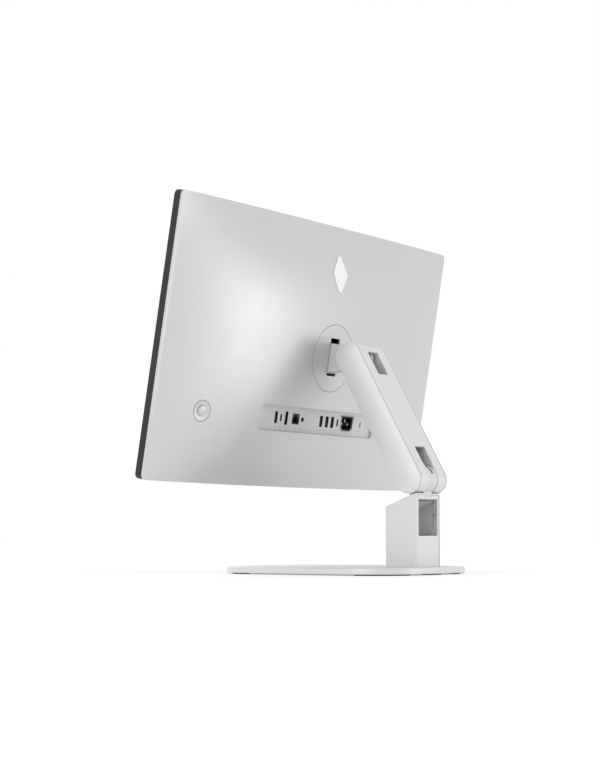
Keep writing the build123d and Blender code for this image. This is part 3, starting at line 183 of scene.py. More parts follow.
def make_studio():
    """Pale floor, pale surroundings and soft lights."""
    bpy.context.scene.view_settings.view_transform = "Standard"
    make_world()
    bm = bmesh.new()
    bmesh.ops.create_grid(bm, x_segments=1, y_segments=1, size=FLOOR_HALF)
    mesh = bpy.data.meshes.new("studio_floor")
    bm.to_mesh(mesh)
    bm.free()
    mesh.materials.append(floor_material())
    floor = bpy.data.objects.new("studio_floor", mesh)
    bpy.context.scene.collection.objects.link(floor)
    for light in LIGHTS:
        area_light(*light)


def floor_material():
    """Matt white floor that glows a little, so that it meets the surroundings without a line."""
    material = bpy.data.materials.new("floor_white")
    material.use_nodes = True
    shader = material.node_tree.nodes["Principled BSDF"]
    shader.inputs["Base Color"].default_value = (FLOOR_GREY, FLOOR_GREY, FLOOR_GREY, 1)
    shader.inputs["Roughness"].default_value = 0.9
    shader.inputs["Specular IOR Level"].default_value = 0.1
    shader.inputs["Emission Color"].default_value = (1, 1, 1, 1)
    shader.inputs["Emission Strength"].default_value = FLOOR_GLOW
    return material


# ------------------------------------------------------------------ materials
class Tree:
    """Short way to add and link a material's nodes."""

    def __init__(self, name):
        self.material = bpy.data.materials.new(name)
        self.material.use_nodes = True
        self.nodes = self.material.node_tree.nodes
        self.shader = self.nodes["Principled BSDF"]

    def link(self, source, target):
        self.material.node_tree.links.new(source, target)

    def add(self, kind, settings=None, **inputs):
        """New node; inputs are numbers, colours or other nodes' outputs, by socket name."""
        node = self.nodes.new("ShaderNode" + kind)
        for key, value in (settings or {}).items():
            setattr(node, key, value)
        for key, value in inputs.items():
            socket = node.inputs[key.replace("_", " ")]
            if isinstance(value, bpy.types.NodeSocket):
                self.link(value, socket)
            else:
                socket.default_value = value
        return node

    def noise(self, scale, detail=3.0, stretch=None):
        """Noise in the row frame, stretched along an axis where a stretch is given."""
        place = self.add("TexCoord").outputs["Object"]
        if stretch:
            place = self.add("Mapping", Vector=place, Scale=stretch).outputs["Vector"]
        return self.add("TexNoise", Vector=place, Scale=scale, Detail=detail).outputs["Fac"]

    def ramp(self, value, low, high, start, end):
        """Value mapped from one span to another, clamped."""
        return self.add(
            "MapRange", Value=value, From_Min=low, From_Max=high, To_Min=start, To_Max=end
        ).outputs["Result"]

    def mix(self, factor, first, second):
        """Colour between two colours or colour outputs."""
        node = self.add("Mix", {"data_type": "RGBA"}, Factor=factor)
        for socket, value in ((node.inputs[6], first), (node.inputs[7], second)):
            if isinstance(value, bpy.types.NodeSocket):
                self.link(value, socket)
            else:
                socket.default_value = (*value, 1)
        return node.outputs[2]

    def edge_mask(self, bevel):
        """Output that is 1 on a convex or concave edge and 0 on a flat face."""
        normal = self.add("NewGeometry").outputs["Normal"]
        dot = self.add("VectorMath", {"operation": "DOT_PRODUCT"})
        self.link(bevel.outputs["Normal"], dot.inputs[0])
        self.link(normal, dot.inputs[1])
        return self.ramp(dot.outputs["Value"], 0.995, 0.90, 0.0, 1.0)


def shade(color, factor):
    """Colour made darker or lighter, and kept in range."""
    return tuple(min(max(c * factor, 0.0), 1.0) for c in color)


def surface(name, color, roughness, metallic=0.0, grain=0.06, grain_scale=1400.0, bump=0.03,
            drift=0.02, coat=0.0, rounding=0.4, wear=0.25, stretch=None, gap_shade_reach=0.0):
    """Procedural surface: slow colour drift, fine grain, uneven roughness, soft and worn edges.

    In millimetres, rounding is the radius of the softened edges and the last argument the
    reach of the shade painted into narrow gaps.
    """
    tree = Tree(name)
    tree.shader.inputs["Metallic"].default_value = metallic
    tree.shader.inputs["Coat Weight"].default_value = coat
    cloud = tree.noise(11.0, 4.0)
    fine = tree.noise(grain_scale, 3.0, stretch)
    smudge = tree.noise(45.0, 5.0)
    bevel = tree.add("Bevel", Radius=rounding * MM)
    tone = tree.mix(cloud, shade(color, 1 - drift), shade(color, 1 + drift))
    # Painted shade: the colour is darkened in narrow gaps that see little open sky.
    if gap_shade_reach:
        near = tree.add("AmbientOcclusion", {"samples": 8}, Distance=gap_shade_reach * MM).outputs["AO"]
        tone = tree.mix(tree.ramp(near, *GAP_LIGHT, 1.0, 0.0), tone, shade(color, GAP_SHADE))
    worn = tree.add("Math", {"operation": "MULTIPLY"})
    tree.link(tree.edge_mask(bevel), worn.inputs[0])
    tree.link(tree.ramp(smudge, 0.42, 0.68, 0.0, wear), worn.inputs[1])
    tree.link(
        tree.mix(worn.outputs["Value"], tone, shade(tuple(c + 0.04 for c in color), 1.2)),
        tree.shader.inputs["Base Color"],
    )
    uneven = tree.add("Math", {"operation": "ADD"})
    tree.link(tree.ramp(fine, 0.3, 0.7, -grain, grain), uneven.inputs[0])
    tree.link(tree.ramp(smudge, 0.3, 0.7, roughness - 0.3 * grain, roughness + 0.3 * grain),
              uneven.inputs[1])
    tree.link(uneven.outputs["Value"], tree.shader.inputs["Roughness"])
    relief = tree.add("Bump", Strength=bump, Distance=0.3 * MM, Height=fine,
                      Normal=bevel.outputs["Normal"])
    tree.link(relief.outputs["Normal"], tree.shader.inputs["Normal"])
    return tree.material


def display_film():
    """Anti-glare face of the display: near black, with the fine grid of its picture cells."""
    tree = Tree("display_film")
    place = tree.add("TexCoord").outputs["Object"]
    cells = tree.add("TexVoronoi", {"feature": "F1", "distance": "CHEBYCHEV"},
                     Vector=place, Scale=3300.0, Randomness=0.0).outputs["Distance"]
    cloud = tree.noise(6.0, 3.0)
    grid = tree.ramp(cells, 0.2, 0.5, 0.0, 1.0)
    tone = tree.mix(grid, (0.010, 0.011, 0.014), (0.004, 0.004, 0.005))
    tree.link(tone, tree.shader.inputs["Base Color"])
    tree.link(tree.ramp(cloud, 0.3, 0.7, 0.20, 0.26), tree.shader.inputs["Roughness"])
    relief = tree.add("Bump", Strength=0.04, Distance=0.05 * MM, Height=cells)
    tree.link(relief.outputs["Normal"], tree.shader.inputs["Normal"])
    return tree.material


def woven_screen():
    """Black acoustic cloth behind the vents."""
    tree = Tree("woven_screen")
    place = tree.add("TexCoord").outputs["Object"]
    warp = tree.add("TexWave", {"bands_direction": "X"}, Vector=place, Scale=500.0).outputs["Fac"]
    weft = tree.add("TexWave", {"bands_direction": "Z"}, Vector=place, Scale=500.0).outputs["Fac"]
    weave = tree.add("Math", {"operation": "MULTIPLY"})
    tree.link(warp, weave.inputs[0])
    tree.link(weft, weave.inputs[1])
    tone = tree.mix(weave.outputs["Value"], (0.006, 0.006, 0.006), (0.03, 0.03, 0.03))
    tree.link(tone, tree.shader.inputs["Base Color"])
    tree.link(tree.ramp(weave.outputs["Value"], 0.0, 1.0, 0.95, 0.7), tree.shader.inputs["Roughness"])
    relief = tree.add("Bump", Strength=0.6, Distance=0.2 * MM, Height=weave.outputs["Value"])
    tree.link(relief.outputs["Normal"], tree.shader.inputs["Normal"])
    return tree.material


def ribbed_rubber():
    """Soft black rubber with a fine tread and dust in its grain."""
    tree = Tree("foot_rubber")
    place = tree.add("TexCoord").outputs["Object"]
    tread = tree.add("TexWave", {"bands_direction": "DIAGONAL"}, Vector=place, Scale=140.0).outputs["Fac"]
    dust = tree.noise(600.0, 5.0)
    tree.link(tree.mix(tree.ramp(dust, 0.5, 0.75, 0.0, 0.5), (0.022, 0.022, 0.022),
                       (0.075, 0.073, 0.07)), tree.shader.inputs["Base Color"])
    tree.link(tree.ramp(dust, 0.3, 0.7, 0.72, 0.92), tree.shader.inputs["Roughness"])
    first = tree.add("Bump", Strength=0.35, Distance=0.3 * MM, Height=tread)
    second = tree.add("Bump", Strength=0.25, Distance=0.2 * MM, Height=dust,
                      Normal=first.outputs["Normal"])
    tree.link(second.outputs["Normal"], tree.shader.inputs["Normal"])
    return tree.material


def circuit_board():
    """Green solder resist over copper tracks."""
    tree = Tree("circuit_board")
    place = tree.add("TexCoord").outputs["Object"]
    tracks = tree.add("TexBrick", {"offset": 0.37, "squash": 1.6}, Vector=place, Scale=90.0,
                      Mortar_Size=0.03).outputs["Fac"]
    cloud = tree.noise(40.0, 4.0)
    tone = tree.mix(tracks, (0.018, 0.085, 0.035), (0.04, 0.15, 0.06))
    tree.link(tone, tree.shader.inputs["Base Color"])
    tree.link(tree.ramp(cloud, 0.3, 0.7, 0.35, 0.5), tree.shader.inputs["Roughness"])
    relief = tree.add("Bump", Strength=0.3, Distance=0.05 * MM, Height=tracks)
    tree.link(relief.outputs["Normal"], tree.shader.inputs["Normal"])
    return tree.material


def make_materials():
    """Every material by its slot's name, and a few for fine pieces only."""
    neutral = (0.60, 0.60, 0.59)
    return {
        "dark_glass": surface("dark_glass", (0.006, 0.006, 0.008), 0.06, grain=0.02, coat=0.5,
                              bump=0.0, wear=0.0),
        "black_plastic": surface("black_plastic", (0.010, 0.010, 0.011), 0.5, grain=0.09, bump=0.12,
                                 grain_scale=1800, rounding=0.25),
        # The silver and bay materials darken in narrow gaps: painted shade, reaching the given millimetres.
        "silver_cover": surface("silver_cover", neutral, 0.37, 0.55, 0.05, 1500, 0.035, 0.012,
                                rounding=0.15, wear=0.1, gap_shade_reach=1.5),
        "bay_plastic": surface("bay_plastic", neutral, 0.5, 0.25, 0.07, 1700, 0.10, 0.02,
                               rounding=0.15, wear=0.1, gap_shade_reach=1.5),
        "polished_badge": surface("polished_badge", (0.90, 0.90, 0.89), 0.09, 1.0, 0.02, 300, 0.01,
                                  0.01, rounding=0.5, wear=0.0),
        "socket_metal": surface("socket_metal", (0.06, 0.06, 0.065), 0.4, 1.0, 0.08, 900, 0.05, 0.05,
                                rounding=0.1),
        "tongue_plastic": surface("tongue_plastic", (0.008, 0.008, 0.008), 0.6, grain=0.08, bump=0.1,
                                  rounding=0.1),
        "brass_blades": surface("brass_blades", (0.45, 0.44, 0.42), 0.35, 1.0, 0.08, 900, 0.05, 0.05,
                                rounding=0.2, stretch=(1, 6, 1)),
        "display": surface("display", (0.03, 0.03, 0.035), 0.35, grain=0.05),
        "circuit_board": circuit_board(),
        "processor_metal": surface("processor_metal", (0.62, 0.62, 0.63), 0.33, 1.0, 0.08, 800, 0.06,
                                   stretch=(8, 1, 1)),
        "copper": surface("copper", (0.74, 0.38, 0.24), 0.3, 1.0, 0.1, 500, 0.05, 0.12),
        "fin_aluminium": surface("fin_aluminium", (0.76, 0.76, 0.77), 0.36, 1.0, 0.08, 900, 0.06,
                                 rounding=0.1, stretch=(1, 1, 7)),
        "sheet_steel": surface("sheet_steel", (0.55, 0.56, 0.58), 0.42, 1.0, 0.1, 420, 0.08, 0.08,
                               rounding=0.3),
        "steel_hardware": surface("steel_hardware", (0.42, 0.42, 0.43), 0.3, 1.0, 0.09, 700, 0.05,
                                  0.06, rounding=0.25, wear=0.5),
        "arm_silver": surface("arm_silver", (0.70, 0.70, 0.69), 0.40, 0.35, 0.05, 1500, 0.035, 0.01,
                              rounding=0.2, wear=0.1, gap_shade_reach=2.0),
        "cast_silver": surface("cast_silver", (0.65, 0.65, 0.64), 0.42, 0.4, 0.06, 1200, 0.06, 0.02,
                               rounding=0.2, wear=0.15, gap_shade_reach=3.0),
        "stand_silver": surface("stand_silver", (0.70, 0.70, 0.69), 0.38, 0.35, 0.05, 1500, 0.035,
                                0.012, rounding=0.2, wear=0.15, gap_shade_reach=2.0),
        "duct_plastic": surface("duct_plastic", (0.50, 0.50, 0.50), 0.5, grain=0.08, bump=0.12,
                                grain_scale=1800, rounding=0.3, wear=0.15),
        "core_steel": surface("core_steel", (0.10, 0.10, 0.105), 0.5, 0.4, 0.1, 600, 0.1),
        "foot_rubber": ribbed_rubber(),
        "display_film": display_film(),
        "woven_screen": woven_screen(),
        "print_grey": surface("print_grey", (0.20, 0.20, 0.20), 0.6, grain=0.1, wear=0.0),
        # Near black for painted shade: the strips in gaps, the pinhole and the screws' hex sockets.
        "painted_shade_black": surface("painted_shade_black", (0.012, 0.012, 0.012), 0.8, grain=0.08, bump=0.15),
        "lamp_green": surface("lamp_green", (0.10, 0.34, 0.12), 0.25, grain=0.04, coat=0.5),
        "lamp_amber": surface("lamp_amber", (0.55, 0.26, 0.05), 0.25, grain=0.04, coat=0.5),
        "lens_glass": surface("lens_glass", (0.010, 0.012, 0.03), 0.04, grain=0.01, coat=1.0,
                              bump=0.0, wear=0.0),
    }


def dress_nodes():
    """Give every CAD node the material of its slot; the lock slot's box is black inside."""
    for part in frame["record"]["subparts"]:
        mesh = frame["nodes"][part["node"]].data
        mesh.materials.clear()
        mesh.materials.append(MATERIALS[part["material_slot"]])
    frame["nodes"]["lock_slot"].data.materials[0] = MATERIALS["tongue_plastic"]


# ------------------------------------------------------------------ reading the frame
def corners_in(points, place):
    """Lowest and highest corner of some points, in a local frame."""
    inverse = place.inverted()
    local = [inverse @ point for point in points]
    low = Vector(min(p[i] for p in local) for i in range(3))
    high = Vector(max(p[i] for p in local) for i in range(3))
    return low, high


def extent(node, place):
    """Lowest and highest corner of a CAD node, in a local frame."""
    return corners_in([v.co for v in frame["nodes"][node].data.vertices], place)


def touching(a, b, slack):
    """True if two boxes meet."""
    return all(a[0][i] - slack <= b[1][i] and b[0][i] - slack <= a[1][i] for i in range(3))


def solids_of(node, place):
    """Boxes of a CAD node's separate solids in a local frame, from the largest x to the smallest."""
    mesh = frame["nodes"][node].data
    boxes = []
    for polygon in mesh.polygons:
        box = corners_in([mesh.vertices[i].co for i in polygon.vertices], place)
        rest = []
        for other in boxes:
            if touching(box, other, 0.02 * MM):
                low = Vector(min(box[0][i], other[0][i]) for i in range(3))
                high = Vector(max(box[1][i], other[1][i]) for i in range(3))
                box = (low, high)
            else:
                rest.append(other)
        boxes = rest + [box]
    return sorted(boxes, key=lambda item: -item[0].x)


def cover_tree():
    """Search tree of the screen's silver back, in the screen's own frame."""
    inverse = SCREEN.inverted()
    points, faces = [], []
    for name in ("back_cover", "mount_cover"):
        mesh = frame["nodes"][name].data
        start = len(points)
        points += [inverse @ v.co for v in mesh.vertices]
        faces += [[start + i for i in p.vertices] for p in mesh.polygons]
    return BVHTree.FromPolygons(points, faces)


# ------------------------------------------------------------------ shape tools
def rectangle(width, height, x=0.0, z=0.0):
    """Corners of a rectangle in x and z."""
    half_w, half_h = width / 2, height / 2
    return [
        (x + half_w, z + half_h), (x - half_w, z + half_h),
        (x - half_w, z - half_h), (x + half_w, z - half_h),
    ]


def rounded(corners, radius, inset=0.0, steps=4):
    """Outline of a convex polygon, made smaller by an inset, with rounded corners."""
    points = []
    count = len(corners)
    radius = max(radius - inset, 0.02 * MM)
    for i in range(count):
        before, here, after = (Vector(corners[k % count]) for k in (i - 1, i, i + 1))
        to_before = (before - here).normalized()
        to_after = (after - here).normalized()
        middle = (to_before + to_after).normalized()
        half = to_before.angle(to_after) / 2
        centre = here + middle * (inset + radius) / math.sin(half)
        start = centre + Vector((to_before.y, -to_before.x)) * radius
        if (start - here).length > (centre - here).length:
            start = centre - Vector((to_before.y, -to_before.x)) * radius
        turn = math.pi - 2 * half
        sign = 1 if to_before.cross(to_after) < 0 else -1
        for k in range(steps + 1):
            spoke = Matrix.Rotation(-sign * turn * k / steps, 2) @ (start - centre)
            points.append(centre + spoke)
    return points


def loft(bm, rings, closed=False):
    """Skin over a row of rings with equal numbers of points, capped unless it closes on itself."""
    rows = [[bm.verts.new(point) for point in ring] for ring in rings]
    count = len(rows[0])
    pairs = list(zip(rows, rows[1:]))
    if closed:
        pairs.append((rows[-1], rows[0]))
    for low, high in pairs:
        for i in range(count):
            j = (i + 1) % count
            bm.faces.new((low[i], low[j], high[j], high[i]))
    if not closed:
        bm.faces.new(rows[0][::-1])
        bm.faces.new(rows[-1])


def pad(bm, corners, radius, front, back, edge):
    """Flat pad between two depths; its edge at the second depth is rounded."""
    side = 1 if back > front else -1
    rings = [[(p.x, front, p.y) for p in rounded(corners, radius)]]
    for k in range(4):
        angle = math.pi / 6 * k
        depth = back - side * edge * (1 - math.sin(angle))
        outline = rounded(corners, radius, edge * (1 - math.cos(angle)))
        rings.append([(p.x, depth, p.y) for p in outline])
    loft(bm, rings)


def rim(bm, corners, radius, width, front, back, edge):
    """Frame of a given width inside a polygon, with rounded edges at the second depth."""
    shoulder = 0.3 * edge
    levels = [
        (0, front), (0, back - edge), (shoulder, back - shoulder), (edge, back),
        (width - edge, back), (width - shoulder, back - shoulder), (width, back - edge), (width, front),
    ]
    loft(bm, [[(p.x, depth, p.y) for p in rounded(corners, radius, inset)] for inset, depth in levels],
         closed=True)


def circle_corners(radius, x=0.0, z=0.0, count=24):
    """Corners of a many-sided polygon around a circle."""
    angles = [2 * math.pi * i / count for i in range(count)]
    return [(x + radius * math.cos(a), z + radius * math.sin(a)) for a in angles]


def tube(bm, path, radius, sides=10):
    """Round bar along a row of points."""
    rings = []
    for i, point in enumerate(path):
        ahead = (path[min(i + 1, len(path) - 1)] - path[max(i - 1, 0)]).normalized()
        side = ahead.orthogonal().normalized() if not rings else (last - ahead * last.dot(ahead)).normalized()
        last = side
        other = ahead.cross(side)
        turns = [2 * math.pi * k / sides for k in range(sides)]
        rings.append([point + (side * math.cos(a) + other * math.sin(a)) * radius for a in turns])
    loft(bm, rings)


def finish_piece(name, bm, place, body, material):
    """Turn a finished shape into a named piece that rides on a body."""
    bmesh.ops.recalc_face_normals(bm, faces=bm.faces)
    bm.transform(place)
    mesh = bpy.data.meshes.new(name)
    bm.to_mesh(mesh)
    bm.free()
    for polygon in mesh.polygons:
        polygon.use_smooth = True
    mesh.set_sharp_from_angle(angle=SHARP_ANGLE)
    mesh.materials.append(MATERIALS[material])
    piece = bpy.data.objects.new(name, mesh)
    bpy.context.scene.collection.objects.link(piece)
    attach(piece, body)
    return piece


def spokes(count, first, start=0.0, turn=2 * math.pi, ends=0):
    """Unit vectors from one axis towards z, over a turn; ends is 1 if both ends count."""
    for i in range(count + ends):
        angle = start + turn * i / count
        yield first * math.cos(angle) + Vector((0, 0, math.sin(angle)))


def shade_strip(name, stations, half_width, top, bottom, place, body):
    """Dark strip swept round a closed gap: painted shade in place of the gap's own shade.

    A station is a point, the direction across the gap and the direction out of it.
    """
    section = [(-half_width, top), (half_width, top), (half_width, bottom), (-half_width, bottom)]
    rings = [[point + across * a + outward * b for a, b in section] for point, across, outward in stations]
    bm = bmesh.new()
    loft(bm, rings, closed=True)
    finish_piece(name, bm, place, body, "painted_shade_black")


# ------------------------------------------------------------------ back of the screen
def cover_shade_strip():
    """Painted shade: dark strip in the gap round the hinge cover, a little below the silver surface."""
    low, high = extent("mount_cover", SCREEN)
    centre = Vector(((low.x + high.x) / 2, 0, (low.z + high.z) / 2))
    radius = (high.x - low.x) / 2 + SEAM_HALF
    tree = cover_tree()
    stations = []
    for out in spokes(180, ACROSS):
        # the ray comes down on the silver back just outside the gap
        probe = centre + OUTWARD * 200 * MM + out * (radius + 2 * MM)
        hit = tree.ray_cast(probe, -OUTWARD)[0]
        stations.append((centre + OUTWARD * hit.y + out * radius, out, OUTWARD))
    shade_strip("mount_cover_shade_strip", stations, 0.35 * MM, -0.1 * MM, -1.6 * MM, SCREEN, "screen")


def button_frame():
    """Frame at the power button: y points out of the cover, through the button's middle."""
    axis = -joint_axis("power_press")
    low, high = extent("button_bezel", ROW)
    turn = OUTWARD.rotation_difference(axis).to_matrix().to_4x4()
    place = Matrix.Translation((low + high) / 2) @ turn
    face = extent("button_bezel", place)[1].y
    return place @ Matrix.Translation((0, face, 0))


def button_shade_strips():
    """Painted shade: dark strips in the seams round the button's dish and round the button."""
    place = button_frame()
    dish_r = extent("button_bezel", place)[1].x + 0.1 * MM
    for name, radius, rise in (("dish_shade_strip", dish_r, 0.12 * MM), ("button_shade_strip", BUTTON_R, -0.7 * MM)):
        stations = [(out * radius + OUTWARD * rise, out, OUTWARD) for out in spokes(96, ACROSS)]
        shade_strip(name, stations, SEAM_HALF, 0.0, -1.0 * MM, place, "screen")


def port_boxes():
    """Boxes of all sockets in the screen's frame, by a short name."""
    usb_c = solids_of("usb_c_sockets", SCREEN)
    usb_a = solids_of("usb_a_sockets", SCREEN)
    return {
        "hdmi": extent("hdmi_socket", SCREEN), "video": extent("displayport_socket", SCREEN),
        "usb_c_1": usb_c[0], "usb_c_2": usb_c[1],
        "usb_a_1": usb_a[0], "usb_a_2": usb_a[1], "usb_a_3": usb_a[2],
        "lan": extent("lan_socket", SCREEN), "jack": extent("audio_socket", SCREEN),
        "inlet": extent("power_inlet", SCREEN), "lock": extent("lock_slot", SCREEN),
    }


def bay_face():
    """Depth of the connector plate's outer face."""
    return extent("connector_plate", SCREEN)[1].y


def port_marks(boxes):
    """Small generic marks under the sockets: bars and dots only, no letters."""
    face = bay_face()
    row = boxes["inlet"][0].z - MARK_BASE_DROP
    bm = bmesh.new()

    def mark(x, z, width, height):
        pad(bm, rectangle(width * MM, height * MM, x, z), 0.2 * MM, face - 0.02 * MM, face + 0.05 * MM,
            0.02 * MM)

    for name in ("hdmi", "video", "lan", "jack", "usb_a_1", "usb_c_2"):
        x = (boxes[name][0].x + boxes[name][1].x) / 2
        mark(x, row, *BAR_MARK)
        mark(x, row + MARK_ROW_GAP, *DASH_MARK)
    for name in ("usb_c_1", "usb_a_2", "usb_a_3"):
        x = (boxes[name][0].x + boxes[name][1].x) / 2
        mark(x, row + MARK_ROW_GAP, *SHORT_BAR_MARK)
        mark(x, row, *DOT_MARK)
        mark(x, row - MARK_LOW_DROP, *SHORT_BAR_MARK)
    inlet = boxes["inlet"]
    mark((inlet[0].x + inlet[1].x) / 2, row - 1.0 * MM, *TALL_MARK)
    finish_piece("port_marks", bm, SCREEN, "screen", "print_grey")


def inlet_frame(boxes):
    """Slim raised frame round the mains inlet."""
    low, high = boxes["inlet"]
    grow = 2.0 * MM
    cut = 4.5 * MM
    left, right, bottom, top = low.x - grow, high.x + grow, low.z - grow, high.z + grow
    corners = [
        (right, top), (left, top), (left, bottom + cut),
        (left + cut, bottom), (right - cut, bottom), (right, bottom + cut),
    ]
    bm = bmesh.new()
    face = bay_face()
    rim(bm, corners, 1.2 * MM, 1.5 * MM, face - 0.1 * MM, face + 0.55 * MM, 0.25 * MM)
    finish_piece("inlet_frame", bm, SCREEN, "screen", "bay_plastic")


def lock_pinhole(boxes):
    """Dark disc, with a raised lip, below the lock slot: painted shade that stands in for a pinhole."""
    low, high = boxes["lock"]
    x = (low.x + high.x) / 2
    z = low.z - 4.4 * MM
    face = bay_face()
    bm = bmesh.new()
    pad(bm, circle_corners(0.75 * MM, x, z), 0.1 * MM, face - 0.1 * MM, face + 0.06 * MM, 0.03 * MM)
    finish_piece("lock_pinhole", bm, SCREEN, "screen", "painted_shade_black")


def socket_contacts(boxes):
    """Contacts on the tongues, and the spring contacts of the network socket."""
    bm = bmesh.new()
    for low, high in solids_of("socket_tongues", SCREEN):
        length = high.z - low.z
        count = max(4, round(length / CONTACT_PITCH))
        pitch = length / count
        for side, x in ((1, high.x), (-1, low.x)):
            outer, inner = x + side * 0.08 * MM, x - side * 0.05 * MM
            for i in range(count):
                z = low.z + (i + 0.5) * pitch
                upper, lower = z + 0.25 * pitch, z - 0.25 * pitch
                corners = [(outer, upper), (inner, upper), (inner, lower), (outer, lower)]
                if side < 0:
                    corners = corners[::-1]
                pad(bm, corners, 0.02 * MM, high.y - 6 * MM, high.y - 0.6 * MM, 0.02 * MM)
    low, high = boxes["lan"]
    middle = (low.x + high.x) / 2
    for i in range(LAN_CONTACTS):
        x = middle + (i - (LAN_CONTACTS - 1) / 2) * LAN_PITCH
        bends = ((1.2, 1.3), (1.8, 1.5), (5.0, 3.4), (7.5, 4.4))
        path = [Vector((x, high.y - deep * MM, low.z + rise * MM)) for deep, rise in bends]
        tube(bm, path, LAN_WIRE_R, 8)
    finish_piece("socket_contacts", bm, SCREEN, "screen", "brass_blades")


def lan_lamps(boxes):
    """Two small light windows at the top corners of the network socket."""
    low, high = boxes["lan"]
    for name, material, side in (("lan_lamp_link", "lamp_green", 1), ("lan_lamp_data", "lamp_amber", -1)):
        x = (low.x + high.x) / 2 + side * 5.6 * MM
        bm = bmesh.new()
        pad(bm, rectangle(2.4 * MM, 1.5 * MM, x, high.z - 1.6 * MM), 0.3 * MM, high.y - 1 * MM,
            high.y + 0.08 * MM, 0.1 * MM)
        finish_piece(name, bm, SCREEN, "screen", material)


def jack_ring(boxes):
    """Plated ring in the headset jack's mouth."""
    low, high = boxes["jack"]
    x, z = (low.x + high.x) / 2, (low.z + high.z) / 2
    bm = bmesh.new()
    rim(bm, circle_corners(JACK_RING_R, x, z, 32), 0.1 * MM, 0.75 * MM,
        high.y - 0.8 * MM, high.y + 0.15 * MM, 0.12 * MM)
    finish_piece("jack_ring", bm, SCREEN, "screen", "socket_metal")


def vent_cloths():
    """Acoustic cloth inside the vents at the top and the bottom of the cover."""
    low, high = extent("back_cover", SCREEN)
    for name, z, side in (("vent_cloth_top", high.z, -1), ("vent_cloth_bottom", low.z, 1)):
        middle = z + side * (COVER_WALL + CLOTH_GAP + CLOTH_T / 2)
        bm = bmesh.new()
        pad(bm, rectangle(CLOTH_LENGTH, CLOTH_T, 0, middle), 0.2 * MM, *CLOTH_DEPTHS, 0.2 * MM)
        finish_piece(name, bm, SCREEN, "screen", "woven_screen")


# ------------------------------------------------------------------ front of the screen
def display_face():
    """Anti-glare film over the lit part of the display, just proud of the cover glass."""
    low, high = extent("lcd_module", SCREEN)
    glass = extent("front_glass", SCREEN)[0].y
    bm = bmesh.new()
    corners = rectangle(high.x - low.x - 1.4 * MM, high.z - low.z - 3.8 * MM, 0, 0.6 * MM)
    pad(bm, corners, 0.6 * MM, glass + 0.02 * MM, glass - 0.08 * MM, 0.03 * MM)
    finish_piece("display_film", bm, SCREEN, "screen", "display_film")


def turned(name, profile, centre_z, face, closed, material):
    """Piece turned round an axis through the glass, from radii and depths in millimetres."""
    bm = bmesh.new()
    rings = []
    for radius, depth in profile:
        ring = circle_corners(radius * MM, 0, centre_z, 40)
        rings.append([(x, face + depth * MM, z) for x, z in ring])
    loft(bm, rings, closed)
    finish_piece(name, bm, SCREEN, "screen", material)


def webcam_face():
    """Lens, two sensor windows and two microphone holes in the glass above the display."""
    low, high = extent("webcam_module", SCREEN)
    z = (low.z + high.z) / 2
    glass = extent("front_glass", SCREEN)[0].y
    ring = [(2.1, 0.02), (2.1, -0.08), (1.9, -0.14), (1.6, -0.14), (1.45, -0.04), (1.45, 0.02)]
    turned("webcam_ring", ring, z, glass, True, "black_plastic")
    lens = [(1.44, 0.02), (1.44, -0.01), (1.1, -0.06), (0.6, -0.1), (0.15, -0.115)]
    turned("webcam_lens", lens, z, glass, False, "lens_glass")
    bm = bmesh.new()
    back, front = glass + GLASS_SUNK, glass - GLASS_PROUD
    for x in (-9 * MM, 9 * MM):
        pad(bm, rectangle(3.4 * MM, 1.8 * MM, x, z), 0.85 * MM, back, front, 0.02 * MM)
    # The microphone holes are dark glass discs: painted shade in place of the holes.
    for x in (-22 * MM, 22 * MM):
        pad(bm, circle_corners(0.5 * MM, x, z, 16), 0.05 * MM, back, front, 0.02 * MM)
    finish_piece("sensor_windows_and_mic_hole_shades", bm, SCREEN, "screen", "lens_glass")


# ------------------------------------------------------------------ arm and stand
def lift_spring_coils():
    """Real coil springs in place of the plain sleeves."""
    coils = []
    steps = STEPS_PER_TURN * SPRING_TURNS
    for name, (low, high) in zip(("lift_spring_left", "lift_spring_right"), solids_of("lift_springs", ARM)):
        radius = (high.x - low.x) / 2 - WIRE_R
        x, y = (low.x + high.x) / 2, (low.y + high.y) / 2
        path = []
        for i in range(steps + 1):
            angle = 2 * math.pi * SPRING_TURNS * i / steps
            z = low.z + WIRE_R + (high.z - low.z - 2 * WIRE_R) * i / steps
            path.append(Vector((x + radius * math.cos(angle), y + radius * math.sin(angle), z)))
        bm = bmesh.new()
        tube(bm, path, WIRE_R, 8)
        coils.append(finish_piece(name, bm, ARM, "arm", "steel_hardware"))
    for coil in coils:
        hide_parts("lift_springs")


def duct_lip():
    """Thin raised lip round the rear mouth of the cable window."""
    openings = frame["record"]["physics"]["openings"]
    low_corner = next(o["box_m"][0] for o in openings if o["name"] == "cable_window")
    half = abs(low_corner[0]) + 0.6 * MM
    bottom = low_corner[2] - 0.6 * MM
    duct_high = extent("cable_duct", ROW)[1]
    ceiling = duct_high.z - 2.1 * MM
    corners = [(half, ceiling), (-half, ceiling), (-half, bottom), (half, bottom)]
    bm = bmesh.new()
    rim(bm, corners, 0.8 * MM, 0.9 * MM, duct_high.y - 3.2 * MM, duct_high.y - 0.6 * MM, 0.2 * MM)
    finish_piece("duct_lip_rear", bm, ROW, "stand", "duct_plastic")


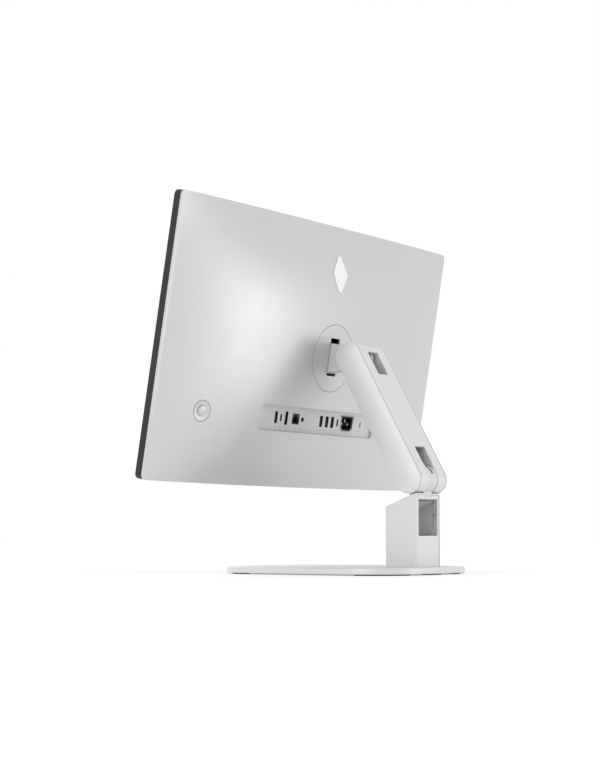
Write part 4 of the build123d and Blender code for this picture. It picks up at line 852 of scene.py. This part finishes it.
def hex_sockets():
    """Hexagon sockets in the heads of the screws under the base plate, drawn as dark hexagons: painted shade
    in place of the recesses.
    """
    bm = bmesh.new()
    turn = Matrix.Rotation(math.pi / 2, 4, "X")
    for low, high in solids_of("base_screws", ROW):
        x, y = (low.x + high.x) / 2, (low.y + high.y) / 2
        corners = [
            (x + HEX_R * math.cos(math.pi / 3 * k), -y + HEX_R * math.sin(math.pi / 3 * k)) for k in range(6)
        ]
        pad(bm, corners, 0.2 * MM, -low.z - 0.3 * MM, -low.z + 0.04 * MM, 0.03 * MM)
    finish_piece("base_screw_sockets", bm, turn.inverted(), "stand", "painted_shade_black")


def arm_shade_strips():
    """Painted shade: dark strips in the seams between the arm's band and its side covers."""
    for side in ("left", "right"):
        low, high = extent("arm_cover_" + side, ARM)
        face = min(low.x, high.x, key=abs)
        radius = (high.y - low.y) / 2
        stations = []
        for centre, start in ((high.z - radius, 0.0), (low.z + radius, math.pi)):
            for out in spokes(32, OUTWARD, start, math.pi, 1):
                stations.append((Vector((face, 0, centre)) + out * radius, ACROSS, out))
        shade_strip("arm_shade_strip_" + side, stations, 0.32 * MM, -0.03 * MM, -0.9 * MM, ARM, "arm")


def knuckle_shade_strips():
    """Painted shade: dark rings in the gaps between the knuckle and the arm's ears."""
    middle_x = extent("knuckle", ARM)[1].x + 0.25 * MM
    radius = extent("arm_frame", ARM)[1].y - 0.45 * MM
    for side, sign in (("left", 1), ("right", -1)):
        stations = [(out * radius + ACROSS * sign * middle_x, ACROSS, out) for out in spokes(64, OUTWARD)]
        shade_strip("knuckle_shade_strip_" + side, stations, 0.24 * MM, 0.0, -1.0 * MM, ARM, "arm")


def pillar_shade_strips():
    """Painted shade: dark strips in the seams beside the pillar's rear cover."""
    low, high = extent("pillar_rear_cover", ROW)
    for side, sign in (("left", 1), ("right", -1)):
        inner, outer = high.x - 0.25 * MM, high.x + 0.19 * MM
        back, front = high.y + 0.08 * MM, high.y - 0.9 * MM
        bm = bmesh.new()
        loft(bm, [
            [(sign * x, y, z) for x, y in ((inner, front), (outer, front), (outer, back), (inner, back))]
            for z in (low.z + 0.1 * MM, high.z - 0.5 * MM)
        ])
        finish_piece("pillar_shade_strip_" + side, bm, ROW, "stand", "painted_shade_black")


# ------------------------------------------------------------------ assembly
make_camera()
make_studio()
MATERIALS = make_materials()
dress_nodes()

PORTS = port_boxes()
cover_shade_strip()
button_shade_strips()
port_marks(PORTS)
inlet_frame(PORTS)
lock_pinhole(PORTS)
socket_contacts(PORTS)
lan_lamps(PORTS)
jack_ring(PORTS)
vent_cloths()
display_face()
webcam_face()
lift_spring_coils()
duct_lip()
hex_sockets()
arm_shade_strips()
knuckle_shade_strips()
pillar_shade_strips()
